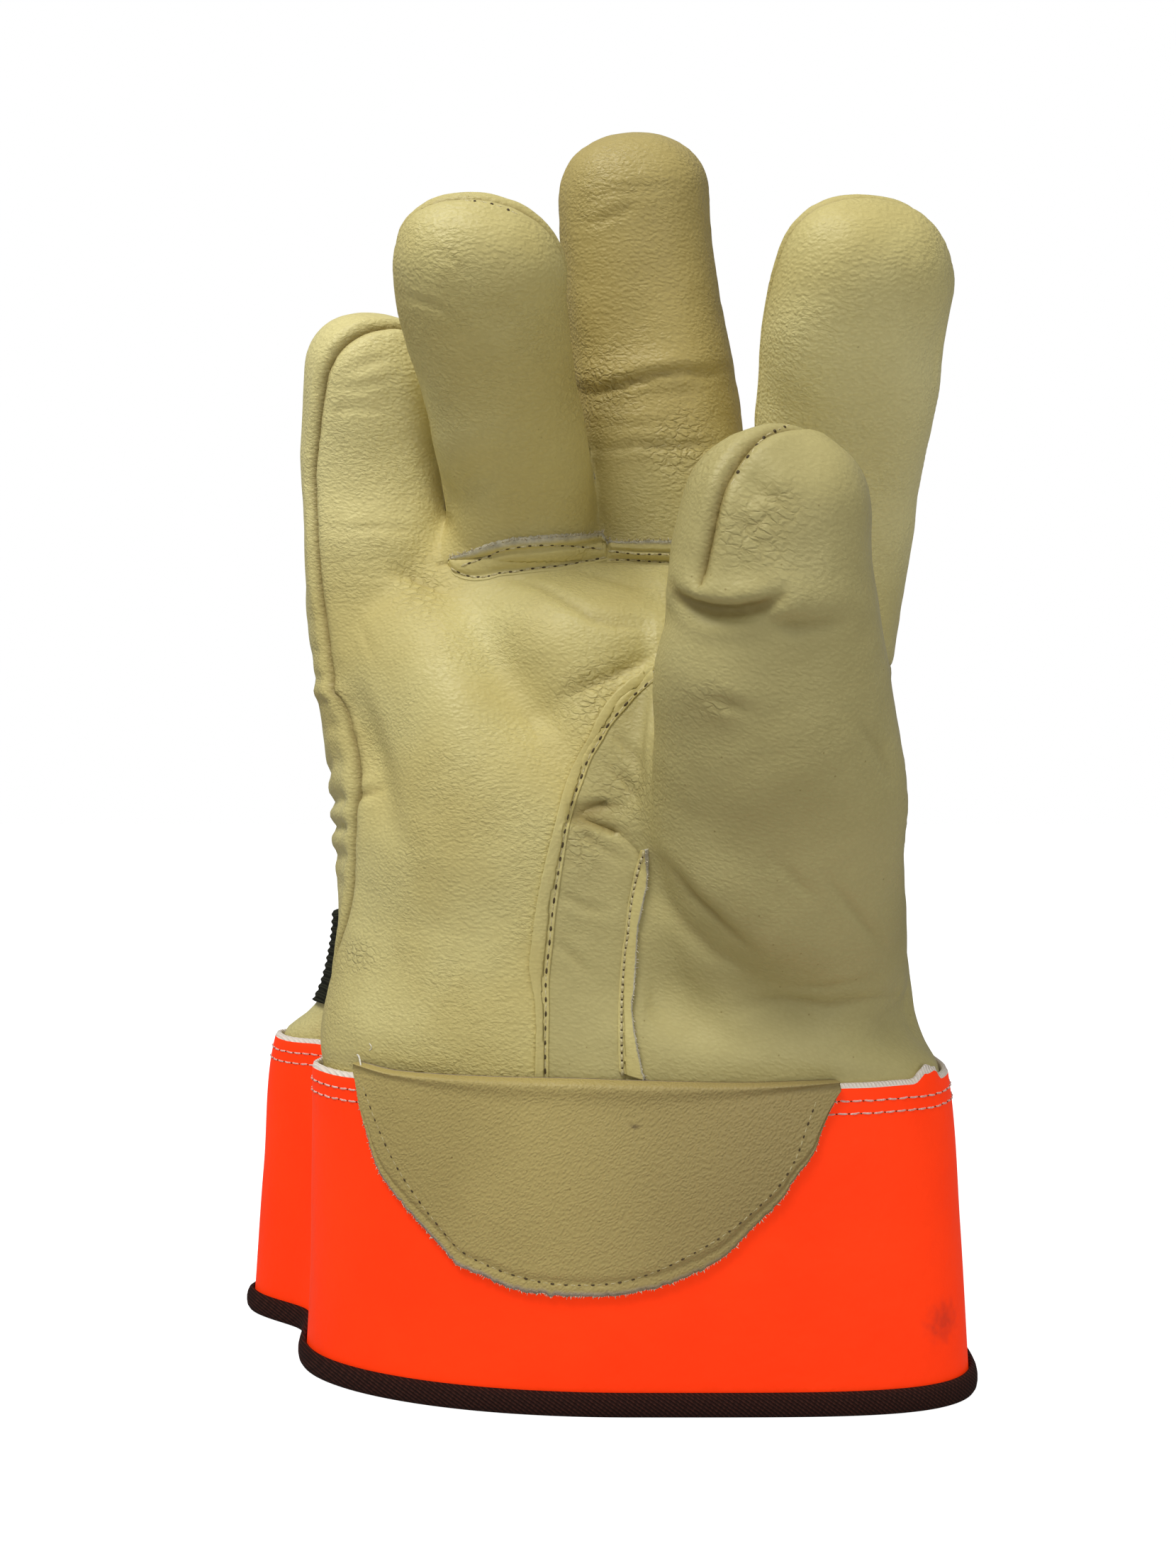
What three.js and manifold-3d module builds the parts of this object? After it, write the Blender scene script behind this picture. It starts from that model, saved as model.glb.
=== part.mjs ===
import * as THREE from 'three';
import { mergeVertices } from 'three/addons/utils/BufferGeometryUtils.js';
import Module from 'manifold-3d';

const wasm = await Module();
wasm.setup();

// Right-hand leather protector glove, standing on its cuff
// Millimetres, +Z up. The palm faces -Y and the thumb is on the +X side.
// Tables are read along one column, and every value between two rows is blended.

const LEATHER = 1.5;
const VINYL = 1.4;
const GAP = 0.3;
const CUFF_TOP = 67;
const CUFF_SEAT = 1.6;
const BINDING_HEIGHT = 5;
const BINDING_WALL = 1.2;
const LEATHER_HEM = 46;
const CAVITY_FLOOR = 36;
const FINGER_SEAM = 176;
const BODY_TOP = 186;
const STRAP_HEIGHTS = [75, 86, 98];
const STRAP_WALL = 1.5;
const WELT_WALL = 1.1;
const PATCH_WALL = 1.4;

const COLOUR = {
  leather: 0xd8cb92,
  leatherShade: 0xcdbf84,
  patch: 0xbfae6e,
  vinyl: 0xff4f1f,
  binding: 0x3c1f1c,
  webbing: 0x2a2a20,
};

function table(columns, rows) {
  const names = columns.split(' ');
  return rows.map((row) => Object.fromEntries(names.map((name, column) => [name, row[column]])));
}

// Outline of the body by height: the four outermost points of each level section.
// fold: depth of the crease down the left side. seamY: where palm and back meet on the left.
// lobe: squareness of the front left corner. reach: how far the crease spreads towards the front.
// corner: squareness of the front right corner. tuck: how far the leather lies inside the cuff.
const BODY = table('z leftX leftY frontX frontY rightX rightY backY fold seamY lobe reach corner tuck', [
  [0, -83, 46, 10, -11, 82, 18, 60, 15, 20, 2.15, 20, 4.5, 2.1],
  [34, -80.5, 48, 10, -11.6, 80.5, 20, 61, 17, 20, 2.15, 16, 4.2, 2.1],
  [67, -77.5, 50, 6, -12, 78.5, 22, 62, 19, 20, 2.25, 14.5, 3.8, 2.1],
  [72, -70, 48, 6, -10.4, 74.5, 21, 59, 15, 18, 2.6, 13, 3.6, 0.6],
  [77, -66, 46, 6, -9.5, 72.5, 20, 56, 12, 18, 2.8, 12, 3.4, 0],
  [88, -63, 43, 6, -8.5, 70.5, 18, 52, 8, 15, 2.7, 12, 3, 0],
  [100, -61.5, 40, 6, -9, 69, 16, 48, 4, 11, 2.45, 14, 2.8, 0],
  [115, -61, 37, 2, -11, 67.5, 14, 47, 1, 9, 2.2, 20, 2.6, 0],
  [130, -60.5, 33, 0, -12, 65.5, 13, 46, 0, 8, 2.15, 26, 2.4, 0],
  [145, -61.5, 29, -4, -9, 65, 14, 45, 0, 9, 2.15, 26, 2.3, 0],
  [160, -63.5, 26, -4, -2, 65.5, 16, 42, 0, 11, 2.15, 26, 2.3, 0],
  [172, -64, 23, 0, 5, 66.5, 18, 38, 0, 13, 2.15, 26, 2.3, 0],
  [180, -61.5, 21, 0, 10, 65, 19, 34, 0, 14, 2.15, 26, 2.3, 0],
  [186, -49, 21, 0, 17, 54, 20, 25, 0, 14, 2.15, 26, 2.3, 0],
]);

// Fingers and thumb by spine point, width and depth. The last row is the tip.
const SPINE = 'x y z width depth';
const DIGITS = {
  little: table(SPINE, [
    [-46, 22, 150, 31, 28],
    [-47.2, 21, 176, 32.5, 27],
    [-47.7, 18, 195, 32, 26],
    [-47, 12, 213, 30.5, 25],
    [-44.5, 6, 229.5, 29, 24],
  ]),
  ring: table(SPINE, [
    [-14.5, 22, 152, 32, 28],
    [-13.4, 19, 174, 32.5, 27],
    [-15.2, 8, 194, 32, 26],
    [-18.5, -8, 212, 31.5, 26],
    [-21, -21, 226, 33.5, 26],
    [-19.5, -31, 238, 33.5, 25],
  ]),
  middle: table(SPINE, [
    [17.5, 22, 152, 34, 28],
    [18, 20, 176, 34, 27],
    [17.2, 17, 195, 35.5, 27],
    [14.9, 14, 215, 35, 27],
    [11.5, 10, 235, 33, 26],
    [8.5, 3, 266, 32, 25],
  ]),
  index: table(SPINE, [
    [51, 22, 150, 33, 28],
    [54, 18, 174, 33, 27],
    [53.5, 8, 193, 35, 26],
    [53, -9, 209, 36, 26],
    [52.8, -22, 223, 35, 26],
    [57, -31, 237.5, 32, 25],
  ]),
  thumb: table(SPINE, [
    [40, 14, 70, 56, 42],
    [40, 9, 86, 57, 44],
    [39.5, 2, 100, 55, 43],
    [38.5, -8, 114, 51, 40],
    [37.5, -17, 130, 49, 37],
    [35.5, -27, 146, 44, 34],
    [34, -34, 158, 40, 32],
    [33, -40, 170, 36, 30],
    [35.3, -46, 191.5, 30, 27],
  ]),
};

// Depth from a digit's middle to its side seams, towards the back
const SEAM_LEFT = { little: -7, ring: 0, middle: 0, index: 0, thumb: 0 };
const SEAM_RIGHT = { little: 0, ring: 0, middle: 0, index: 0, thumb: 9 };

// Dents (+) and swellings (-) of the palm, as seen from the front
const DENTS = table('x z reachX reachZ depth', [
  [-44, 134, 11, 16, 3.2],
  [-18, 142, 12, 22, 2.2],
  [2, 162, 22, 8, -2.5],
  [24, 84, 12, 9, 1.6],
]);

// Gathers of the elastic across the back of the wrist
const GATHERS = { bottom: 104, top: 138, pitch: 8.5, depth: 0.9 };

// Seams across the palm, as seen from the front
const PALM_SEAM = [[-8.6, 40], [-9.5, 88], [-7.9, 104], [-4.8, 120], [-0.8, 134], [6.4, 145], [16, 152]];
const THUMB_SEAM = [[8, 40], [7.4, 88], [8.6, 104], [12, 115]];

// The half-moon patch on the cuff
const PATCH = { x: 1.5, top: 68, slope: -0.035, halfWidth: 48.5, drop: 43.5 };

const clamp = (value, low, high) => Math.min(Math.max(value, low), high);
const curveThrough = (points) => new THREE.SplineCurve(points.map(([x, z]) => new THREE.Vector2(x, z)));

// One blended row of a table: a smooth curve through the rows along the given column
function rowAt(rows, key, value) {
  const last = rows.length - 1;
  let i = 0;
  while (i < last - 1 && value > rows[i + 1][key]) i += 1;
  const before = rows[Math.max(i - 1, 0)];
  const from = rows[i];
  const to = rows[i + 1];
  const after = rows[Math.min(i + 2, last)];
  const span = to[key] - from[key];
  const t = clamp((value - from[key]) / span, 0, 1);
  const mixed = {};
  for (const name of Object.keys(from)) {
    const slopeFrom = (to[name] - before[name]) / (to[key] - before[key]);
    const slopeTo = (after[name] - from[name]) / (after[key] - from[key]);
    const a = from[name] + (t * t * (3 - 2 * t)) * (to[name] - from[name]);
    mixed[name] = a + span * t * (1 - t) * ((1 - t) * slopeFrom - t * slopeTo);
  }
  return mixed;
}

// Turns round the body: 0 left, a quarter front, half right; closer together at the crease
const BUNCHING = 0.6;

function bunchedTurns(sides) {
  return Array.from({ length: sides }, (_, i) => {
    const even = i / sides;
    return even - (BUNCHING / (2 * Math.PI)) * Math.sin(2 * Math.PI * even);
  });
}

const TURNS = bunchedTurns(38);
const CAVITY_TURNS = bunchedTurns(22);

const FOLD_Y = 31;
const FOLD_BACK_REACH = 9.8;
const BACK_SQUARE = 2.7;

function outlinePoint(row, turn) {
  const angle = 2 * Math.PI * turn;
  const right = Math.cos(angle) < 0;
  const front = Math.sin(angle) > 0;
  const frontSquare = right ? row.corner : row.lobe;
  const square = front ? frontSquare : BACK_SQUARE;
  const side = Math.abs(Math.cos(angle)) ** (2 / square);
  const face = Math.abs(Math.sin(angle)) ** (2 / square);
  const sideX = right ? row.rightX : row.leftX;
  const sideY = right ? row.rightY : row.leftY;
  let x = row.frontX + (sideX - row.frontX) * side;
  let y = sideY + ((front ? row.frontY : row.backY) - sideY) * face;
  if (!right) {
    const reach = y < FOLD_Y ? row.reach : FOLD_BACK_REACH;
    x += row.fold * Math.exp(-(((y - FOLD_Y) / reach) ** 2));
  }
  if (front) {
    for (const dent of DENTS) {
      const far = ((x - dent.x) / dent.reachX) ** 2 + ((row.z - dent.z) / dent.reachZ) ** 2;
      y += dent.depth * Math.exp(-far);
    }
  }
  return new THREE.Vector2(x, y);
}

// How far the gathers pull the leather in at this height, only round the back and sides
function gatherDepth(z, turn) {
  const { bottom, top, pitch, depth } = GATHERS;
  if (z <= bottom || z >= top) return 0;
  const rise = Math.sin((Math.PI * (z - bottom)) / (top - bottom));
  const back = clamp(0.5 - 2.2 * Math.sin(2 * Math.PI * turn), 0, 1);
  return depth * rise * back * (1 + Math.cos((2 * Math.PI * (z - bottom)) / pitch));
}

// A level section of the body, moved in by inset
function bodyRing(z, inset, turns = TURNS) {
  const row = rowAt(BODY, 'z', z);
  return turns.map((turn) => {
    const step = 0.004;
    const before = outlinePoint(row, turn - step);
    const after = outlinePoint(row, turn + step);
    const here = outlinePoint(row, turn);
    const along = after.sub(before).normalize();
    const inward = inset + gatherDepth(z, turn);
    return new THREE.Vector3(here.x - along.y * inward, here.y + along.x * inward, z);
  });
}

// Triangles between a stack of like rings, with both ends capped or the stack closed on itself
function loft(rings, closed = false) {
  const sides = rings[0].length;
  const positions = rings.flat().flatMap((point) => [point.x, point.y, point.z]);
  const faces = [];
  const steps = closed ? rings.length : rings.length - 1;
  for (let r = 0; r < steps; r += 1) {
    const low = r * sides;
    const high = ((r + 1) % rings.length) * sides;
    for (let i = 0; i < sides; i += 1) {
      const next = (i + 1) % sides;
      faces.push(low + i, low + next, high + next, low + i, high + next, high + i);
    }
  }
  if (!closed) {
    for (const [end, flip] of [[0, true], [rings.length - 1, false]]) {
      const middle = rings[end].reduce((sum, point) => sum.add(point), new THREE.Vector3()).divideScalar(sides);
      const centre = positions.length / 3;
      positions.push(middle.x, middle.y, middle.z);
      for (let i = 0; i < sides; i += 1) {
        const a = end * sides + i;
        const b = end * sides + ((i + 1) % sides);
        faces.push(centre, flip ? b : a, flip ? a : b);
      }
    }
  }
  const geometry = new THREE.BufferGeometry();
  geometry.setAttribute('position', new THREE.Float32BufferAttribute(positions, 3));
  geometry.setIndex(faces);
  return outward(geometry);
}

// The same geometry with its faces turned outwards
function outward(geometry) {
  const place = geometry.getAttribute('position');
  const index = geometry.getIndex();
  const [a, b, c] = [new THREE.Vector3(), new THREE.Vector3(), new THREE.Vector3()];
  let volume = 0;
  for (let i = 0; i < index.count; i += 3) {
    a.fromBufferAttribute(place, index.getX(i));
    b.fromBufferAttribute(place, index.getX(i + 1));
    c.fromBufferAttribute(place, index.getX(i + 2));
    volume += a.dot(b.cross(c));
  }
  if (volume < 0) {
    for (let i = 0; i < index.count; i += 3) {
      const held = index.getX(i + 1);
      index.setX(i + 1, index.getX(i + 2));
      index.setX(i + 2, held);
    }
  }
  return geometry;
}

function toSolid(geometry) {
  const merged = mergeVertices(geometry, 1e-4);
  return new wasm.Manifold(new wasm.Mesh({
    numProp: 3,
    vertProperties: Float32Array.from(merged.getAttribute('position').array),
    triVerts: Uint32Array.from(merged.getIndex().array),
  }));
}

function toGeometry(solid) {
  const { vertProperties, triVerts } = solid.getMesh();
  const geometry = new THREE.BufferGeometry();
  geometry.setAttribute('position', new THREE.BufferAttribute(Float32Array.from(vertProperties), 3));
  geometry.setIndex(new THREE.BufferAttribute(Uint32Array.from(triVerts), 1));
  return geometry;
}

const join = (solids) => solids.reduce((sum, solid) => sum.add(solid));
const cut = (solid, tools) => tools.reduce((rest, tool) => rest.subtract(tool), solid);

// Slivers thinner than this are closed up where panels were cut
const FINEST = 0.03;

// The largest separate body of a solid
function largest(solid) {
  const bodies = solid.decompose();
  bodies.sort((one, other) => other.volume() - one.volume());
  return bodies[0].simplify(FINEST);
}

// Solid body of the hand between two heights
function bodySolid(inset, bottom, top, turns, gathered) {
  const heights = [bottom, CUFF_TOP, 70, ...STRAP_HEIGHTS, GATHERS.bottom];
  const step = gathered ? GATHERS.pitch / 3 : GATHERS.pitch * 2;
  for (let z = GATHERS.bottom + step; z < GATHERS.top; z += step) heights.push(z);
  heights.push(148, 158, 168, 176, top);
  return toSolid(loft(heights.map((z) => bodyRing(z, inset + rowAt(BODY, 'z', z).tuck, turns))));
}

// Stations along a digit: distance from its root, spine point, direction, axes and size
function stations(rows, spacing = 12) {
  let run = 0;
  const measured = rows.map((row, i) => {
    if (i > 0) run += Math.hypot(row.x - rows[i - 1].x, row.y - rows[i - 1].y, row.z - rows[i - 1].z);
    return { ...row, run };
  });
  const dome = 14;
  const marks = [];
  const straight = Math.ceil((run - dome) / spacing);
  for (let i = 0; i <= straight; i += 1) marks.push(((run - dome) * i) / straight);
  for (const part of [0.45, 0.75, 0.93]) marks.push(run - dome + dome * part);
  return marks.map((mark) => {
    const row = rowAt(measured, 'run', mark);
    const near = rowAt(measured, 'run', Math.max(mark - 0.5, 0));
    const far = rowAt(measured, 'run', Math.min(mark + 0.5, run));
    const along = new THREE.Vector3(far.x - near.x, far.y - near.y, far.z - near.z).normalize();
    const back = along.clone().cross(new THREE.Vector3(1, 0, 0)).normalize();
    const across = back.clone().cross(along).normalize();
    const part = clamp((mark - (run - dome)) / dome, 0, 1);
    const taper = (1 - part ** 2.2) ** (1 / 2.2);
    return { row, along, back, across, taper, left: run - mark };
  });
}

const DIGIT_SIDES = 14;
const CAVITY_SIDES = 8;

function digitSolid(name, inset, sides) {
  const rings = stations(DIGITS[name]).map(({ row, along, back, across, taper, left }) => {
    const shorter = inset * (1 - clamp(left / 20, 0, 1));
    const centre = new THREE.Vector3(row.x, row.y, row.z).addScaledVector(along, -shorter);
    return Array.from({ length: sides }, (_, i) => {
      const angle = (2 * Math.PI * i) / sides;
      const half = [row.width / 2, row.depth / 2].map((size) => Math.max(size * taper - inset, 0.6));
      const side = Math.sign(Math.cos(angle)) * Math.abs(Math.cos(angle)) ** 0.88 * half[0];
      const face = Math.sign(Math.sin(angle)) * Math.abs(Math.sin(angle)) ** 0.88 * half[1];
      return centre.clone().addScaledVector(across, side).addScaledVector(back, face);
    });
  });
  return toSolid(loft(rings));
}

// The space in front of a digit's side seams, from height bottom up
function digitFront(name, grow, bottom, seams = [SEAM_LEFT[name], SEAM_RIGHT[name]], reach = 19) {
  const kept = stations(DIGITS[name]).filter(({ row }) => row.z > bottom - 4);
  const last = kept.at(-1);
  const beyond = { ...last, row: { ...last.row } };
  for (const axis of ['x', 'y', 'z']) beyond.row[axis] += 6 * last.along[axis];
  const rings = [...kept, beyond].map(({ row, back, across }, i) => {
    const level = i === 0 ? { ...row, z: bottom - grow } : row;
    const half = row.width / 2 + 0.1 + grow;
    const corners = [[-half, -reach], [half, -reach], [half, seams[1] + grow], [-half, seams[0] + grow]];
    return corners.map(([side, face]) => {
      const point = new THREE.Vector3(level.x, level.y, level.z);
      return point.addScaledVector(across, side).addScaledVector(back, face);
    });
  });
  return toSolid(loft(rings));
}

// The space in front of the body's side seams
function bodyFront(grow) {
  const heights = [CAVITY_FLOOR - 4, 67, 77, 88, 100, 115, 130, 145, 160, FINGER_SEAM];
  return toSolid(loft(heights.map((z) => {
    const row = rowAt(BODY, 'z', z);
    const leftY = row.seamY + grow;
    const rightY = row.rightY + grow;
    return [[-110, -80], [110, -80], [110, rightY], [row.rightX, rightY], [-40, leftY], [-110, leftY]]
      .map(([x, y]) => new THREE.Vector3(x, y, z));
  })));
}

// A flat outline seen from the front, pushed through from one depth to another
function frontPrism(outline, nearY, farY) {
  const shape = new THREE.Shape(outline.map(([x, z]) => new THREE.Vector2(x, z)));
  const geometry = new THREE.ExtrudeGeometry(shape, { depth: farY - nearY, bevelEnabled: false });
  geometry.deleteAttribute('normal');
  geometry.deleteAttribute('uv');
  geometry.rotateX(Math.PI / 2);
  geometry.translate(0, farY, 0);
  return toSolid(outward(mergeVertices(geometry, 1e-4)));
}

// The thumb's share of the palm: right of the seam, with grow moving its edge outwards
function thumbShare(seam, grow, top) {
  const edge = curveThrough(seam).getPoints(18).map((point) => [point.x - grow, point.y + grow * 0.6]);
  const close = [[58, top + grow], [110, top - 8 + grow], [110, 30], [edge[0][0], 30]];
  return frontPrism([...edge, ...close], -70, 60);
}

const digitNames = Object.keys(DIGITS);
const outerForm = join([
  bodySolid(0, LEATHER_HEM, BODY_TOP, TURNS, true),
  ...digitNames.map((name) => digitSolid(name, 0, DIGIT_SIDES)),
]);
const cavity = join([
  bodySolid(LEATHER, CAVITY_FLOOR, BODY_TOP - LEATHER, CAVITY_TURNS, false),
  ...digitNames.map((name) => digitSolid(name, LEATHER, CAVITY_SIDES)),
]);
const shell = outerForm.subtract(cavity);

// The spaces of the panels, with grow widening each by half the gap
const ringFront = (grow) => digitFront('ring', grow, FINGER_SEAM);
const middleFront = (grow) => digitFront('middle', grow, FINGER_SEAM);
const palmFront = (grow) => join([
  bodyFront(grow),
  digitFront('little', grow, FINGER_SEAM - 6),
  digitFront('index', grow, FINGER_SEAM - 6),
]);
const THUMB_FREE = 118;
const thumbSpace = (grow) => join([
  thumbShare(PALM_SEAM, grow, 156).intersect(bodyFront(grow)),
  digitFront('thumb', grow, THUMB_FREE, [24, 24], 24),
]);
const thumbOuterSpace = (grow) => join([
  thumbShare(THUMB_SEAM, grow, 118).intersect(bodyFront(grow)),
  digitFront('thumb', grow, THUMB_FREE - 10, [SEAM_LEFT.thumb, SEAM_RIGHT.thumb], 24),
]);

function panels() {
  const thumbShell = shell.intersect(thumbSpace(0));
  return {
    palm: cut(shell.intersect(palmFront(0)), [ringFront(GAP), middleFront(GAP), thumbSpace(GAP)]),
    back: cut(shell, [palmFront(GAP), ringFront(GAP), middleFront(GAP), thumbSpace(GAP)]),
    ring_finger_front: shell.intersect(ringFront(0)),
    middle_finger_front: cut(shell.intersect(middleFront(0)), [ringFront(GAP)]),
    thumb_outer: thumbShell.intersect(thumbOuterSpace(0)),
    thumb_inner: thumbShell.subtract(thumbOuterSpace(GAP)),
  };
}

// A closed wall round the body: the profile lists height and distance outwards, the inner face upwards
function bandRound(profile, turns = TURNS, closed = true) {
  const rings = turns.map((turn) => profile.map(([z, out]) => bodyRing(z, -out, [turn])[0]));
  return loft(rings, closed);
}

const CUFF_HEIGHTS = [CUFF_SEAT, 34, LEATHER_HEM, CUFF_TOP];

function cuffWall() {
  const inside = CUFF_HEIGHTS.map((z) => [z, -VINYL]);
  const outside = [...CUFF_HEIGHTS].reverse().map((z) => [z, 0]);
  return bandRound([...inside, ...outside]);
}

function cuffBinding() {
  const [inside, outside] = [VINYL + GAP, GAP];
  return bandRound([
    [0, outside + BINDING_WALL],
    [BINDING_HEIGHT, outside + BINDING_WALL],
    [BINDING_HEIGHT, outside],
    [CUFF_SEAT - GAP, outside],
    [CUFF_SEAT - GAP, -inside],
    [BINDING_HEIGHT, -inside],
    [BINDING_HEIGHT, -inside - BINDING_WALL],
    [0, -inside - BINDING_WALL],
  ]);
}

// The webbing from the left side seam round the back to the right side seam
const STRAP_TURNS = { start: 0.56, end: 0.03 };

function wristStrap() {
  const back = TURNS.filter((turn) => turn > STRAP_TURNS.start);
  const turns = [...back, ...TURNS.filter((turn) => turn < STRAP_TURNS.end)];
  const profile = [
    ...STRAP_HEIGHTS.map((z) => [z, GAP]),
    ...[...STRAP_HEIGHTS].reverse().map((z) => [z, GAP + STRAP_WALL]),
  ];
  return bandRound(profile, turns, false);
}

// Depth of the front surface under a point seen from the front
const form = toGeometry(join([outerForm, toSolid(loft(CUFF_HEIGHTS.map((z) => bodyRing(z, 0))))]));
const surface = new THREE.Mesh(form, new THREE.MeshStandardMaterial({ side: THREE.DoubleSide }));
const ray = new THREE.Raycaster();

function frontDepth(x, z) {
  ray.set(new THREE.Vector3(x, -22, z), new THREE.Vector3(0, 1, 0));
  const [hit] = ray.intersectObject(surface);
  return hit ? hit.point.y : 0;
}

// A sheet laid on the front surface from a grid of points seen from the front, upright above a ledge
function sheetOnFront(grid, wall, lift = GAP + 0.1, ledge = Infinity) {
  const depthAt = (x, z) => frontDepth(x, Math.min(z, ledge)) - lift;
  const under = grid.map((line) => line.map(([x, z]) => new THREE.Vector3(x, depthAt(x, z), z)));
  const rings = under.map((line) => {
    const over = line.map((point) => new THREE.Vector3(point.x, point.y - wall, point.z));
    return [...line, ...over.reverse()];
  });
  return loft(rings);
}

function cuffPatch() {
  const columns = 18;
  const rows = 5;
  const grid = Array.from({ length: columns + 1 }, (_, i) => {
    const angle = Math.PI * (0.02 + (0.96 * i) / columns);
    const x = PATCH.x - PATCH.halfWidth * Math.cos(angle);
    const top = PATCH.top + PATCH.slope * (x - PATCH.x);
    const low = PATCH.top - PATCH.drop * Math.sin(angle) ** 0.9;
    return Array.from({ length: rows }, (_, j) => [x, top + ((low - top) * j) / (rows - 1)]);
  });
  return sheetOnFront(grid, PATCH_WALL, 2 * GAP, CUFF_TOP - 0.5);
}

// A narrow strip beside a seam, between two distances from it, from one height to another
function seamStrip(seam, from, to, bottom, top) {
  const points = curveThrough(seam).getPoints(30).filter((point) => point.y > bottom && point.y < top);
  const grid = points.filter((_, i) => i % 2 === 0).map((point) => [[point.x + from, point.y],
    [point.x + (from + to) / 2, point.y], [point.x + to, point.y]]);
  return sheetOnFront(grid, WELT_WALL);
}

// The turned-up seam allowance across a finger's root, a shallow crescent
function fingerWelt(fromX, toX, level, rise) {
  const steps = 12;
  const grid = Array.from({ length: steps + 1 }, (_, i) => {
    const part = i / steps;
    const x = fromX + (toX - fromX) * part;
    const bow = rise * Math.sin(Math.PI * part);
    return [[x, level + bow * 0.5 - 2], [x, level + bow * 0.75], [x, level + bow + 2]];
  });
  return sheetOnFront(grid, WELT_WALL, 2 * GAP);
}

const glove = new THREE.Group();

function addPiece(name, geometry, color, roughness) {
  const material = new THREE.MeshStandardMaterial({ color, roughness, metalness: 0 });
  const mesh = new THREE.Mesh(geometry, material);
  mesh.name = name;
  glove.add(mesh);
}

for (const [name, solid] of Object.entries(panels())) {
  const color = name === 'back' ? COLOUR.leatherShade : COLOUR.leather;
  addPiece(name, toGeometry(largest(solid)), color, 0.6);
}
addPiece('ring_seam_welt', fingerWelt(-26.5, -1.5, 178, 2.8), COLOUR.leatherShade, 0.7);
addPiece('middle_seam_welt', fingerWelt(7, 31, 180, 1), COLOUR.leatherShade, 0.7);
addPiece('palm_seam_strip', seamStrip(PALM_SEAM, -3.2, -0.2, 70, 148), COLOUR.leatherShade, 0.7);
addPiece('thumb_seam_strip', seamStrip(THUMB_SEAM, 0.2, 2.8, 70, 112), COLOUR.leatherShade, 0.7);
addPiece('palm_patch', cuffPatch(), COLOUR.patch, 0.65);
addPiece('cuff', cuffWall(), COLOUR.vinyl, 0.45);
addPiece('cuff_binding', cuffBinding(), COLOUR.binding, 0.85);
addPiece('wrist_strap', wristStrap(), COLOUR.webbing, 0.8);

// The origin lies under the middle of the whole glove
const box = new THREE.Box3().setFromObject(glove);
const middle = box.getCenter(new THREE.Vector3());
glove.position.set(-middle.x, -middle.y, -box.min.z);

export default glove;
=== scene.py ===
import math
import bpy
import numpy as np
import openvdb
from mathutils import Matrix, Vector, noise
from mathutils.bvhtree import BVHTree


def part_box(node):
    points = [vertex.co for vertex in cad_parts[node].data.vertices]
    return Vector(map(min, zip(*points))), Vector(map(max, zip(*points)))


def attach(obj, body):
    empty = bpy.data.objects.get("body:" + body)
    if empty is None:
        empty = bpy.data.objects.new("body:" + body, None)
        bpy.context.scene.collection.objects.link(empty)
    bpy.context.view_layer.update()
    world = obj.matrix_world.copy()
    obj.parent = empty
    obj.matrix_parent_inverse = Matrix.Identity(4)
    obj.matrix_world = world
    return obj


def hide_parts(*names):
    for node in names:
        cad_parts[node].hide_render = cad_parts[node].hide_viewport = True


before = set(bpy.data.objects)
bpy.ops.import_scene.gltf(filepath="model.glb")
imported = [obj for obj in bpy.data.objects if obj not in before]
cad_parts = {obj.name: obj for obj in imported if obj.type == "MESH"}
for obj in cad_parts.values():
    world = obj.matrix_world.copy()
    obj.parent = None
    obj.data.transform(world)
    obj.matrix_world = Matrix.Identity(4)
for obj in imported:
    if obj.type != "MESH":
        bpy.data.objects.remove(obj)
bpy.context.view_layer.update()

# Right-hand leather protector glove, standing on its cuff
# Worked out in millimetres with the palm facing -Y, and put into metres when a piece is made.

METRE = 1000

LEATHER = 1.4
VINYL = 1.4
CUFF_SEAT = 1.6
CUFF_MIDDLE = 34.0
CUFF_TOP = 67.0
LEATHER_HEM = 46.0
FINGER_SEAM = 176.0
BODY_TOP = 186.0
STRAP_LOW = 75.0
STRAP_HIGH = 98.0


def table(columns, *rows):
    """Named columns of numbers from rows of them."""
    return dict(zip(columns.split(), np.array(rows, float).T))


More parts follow.
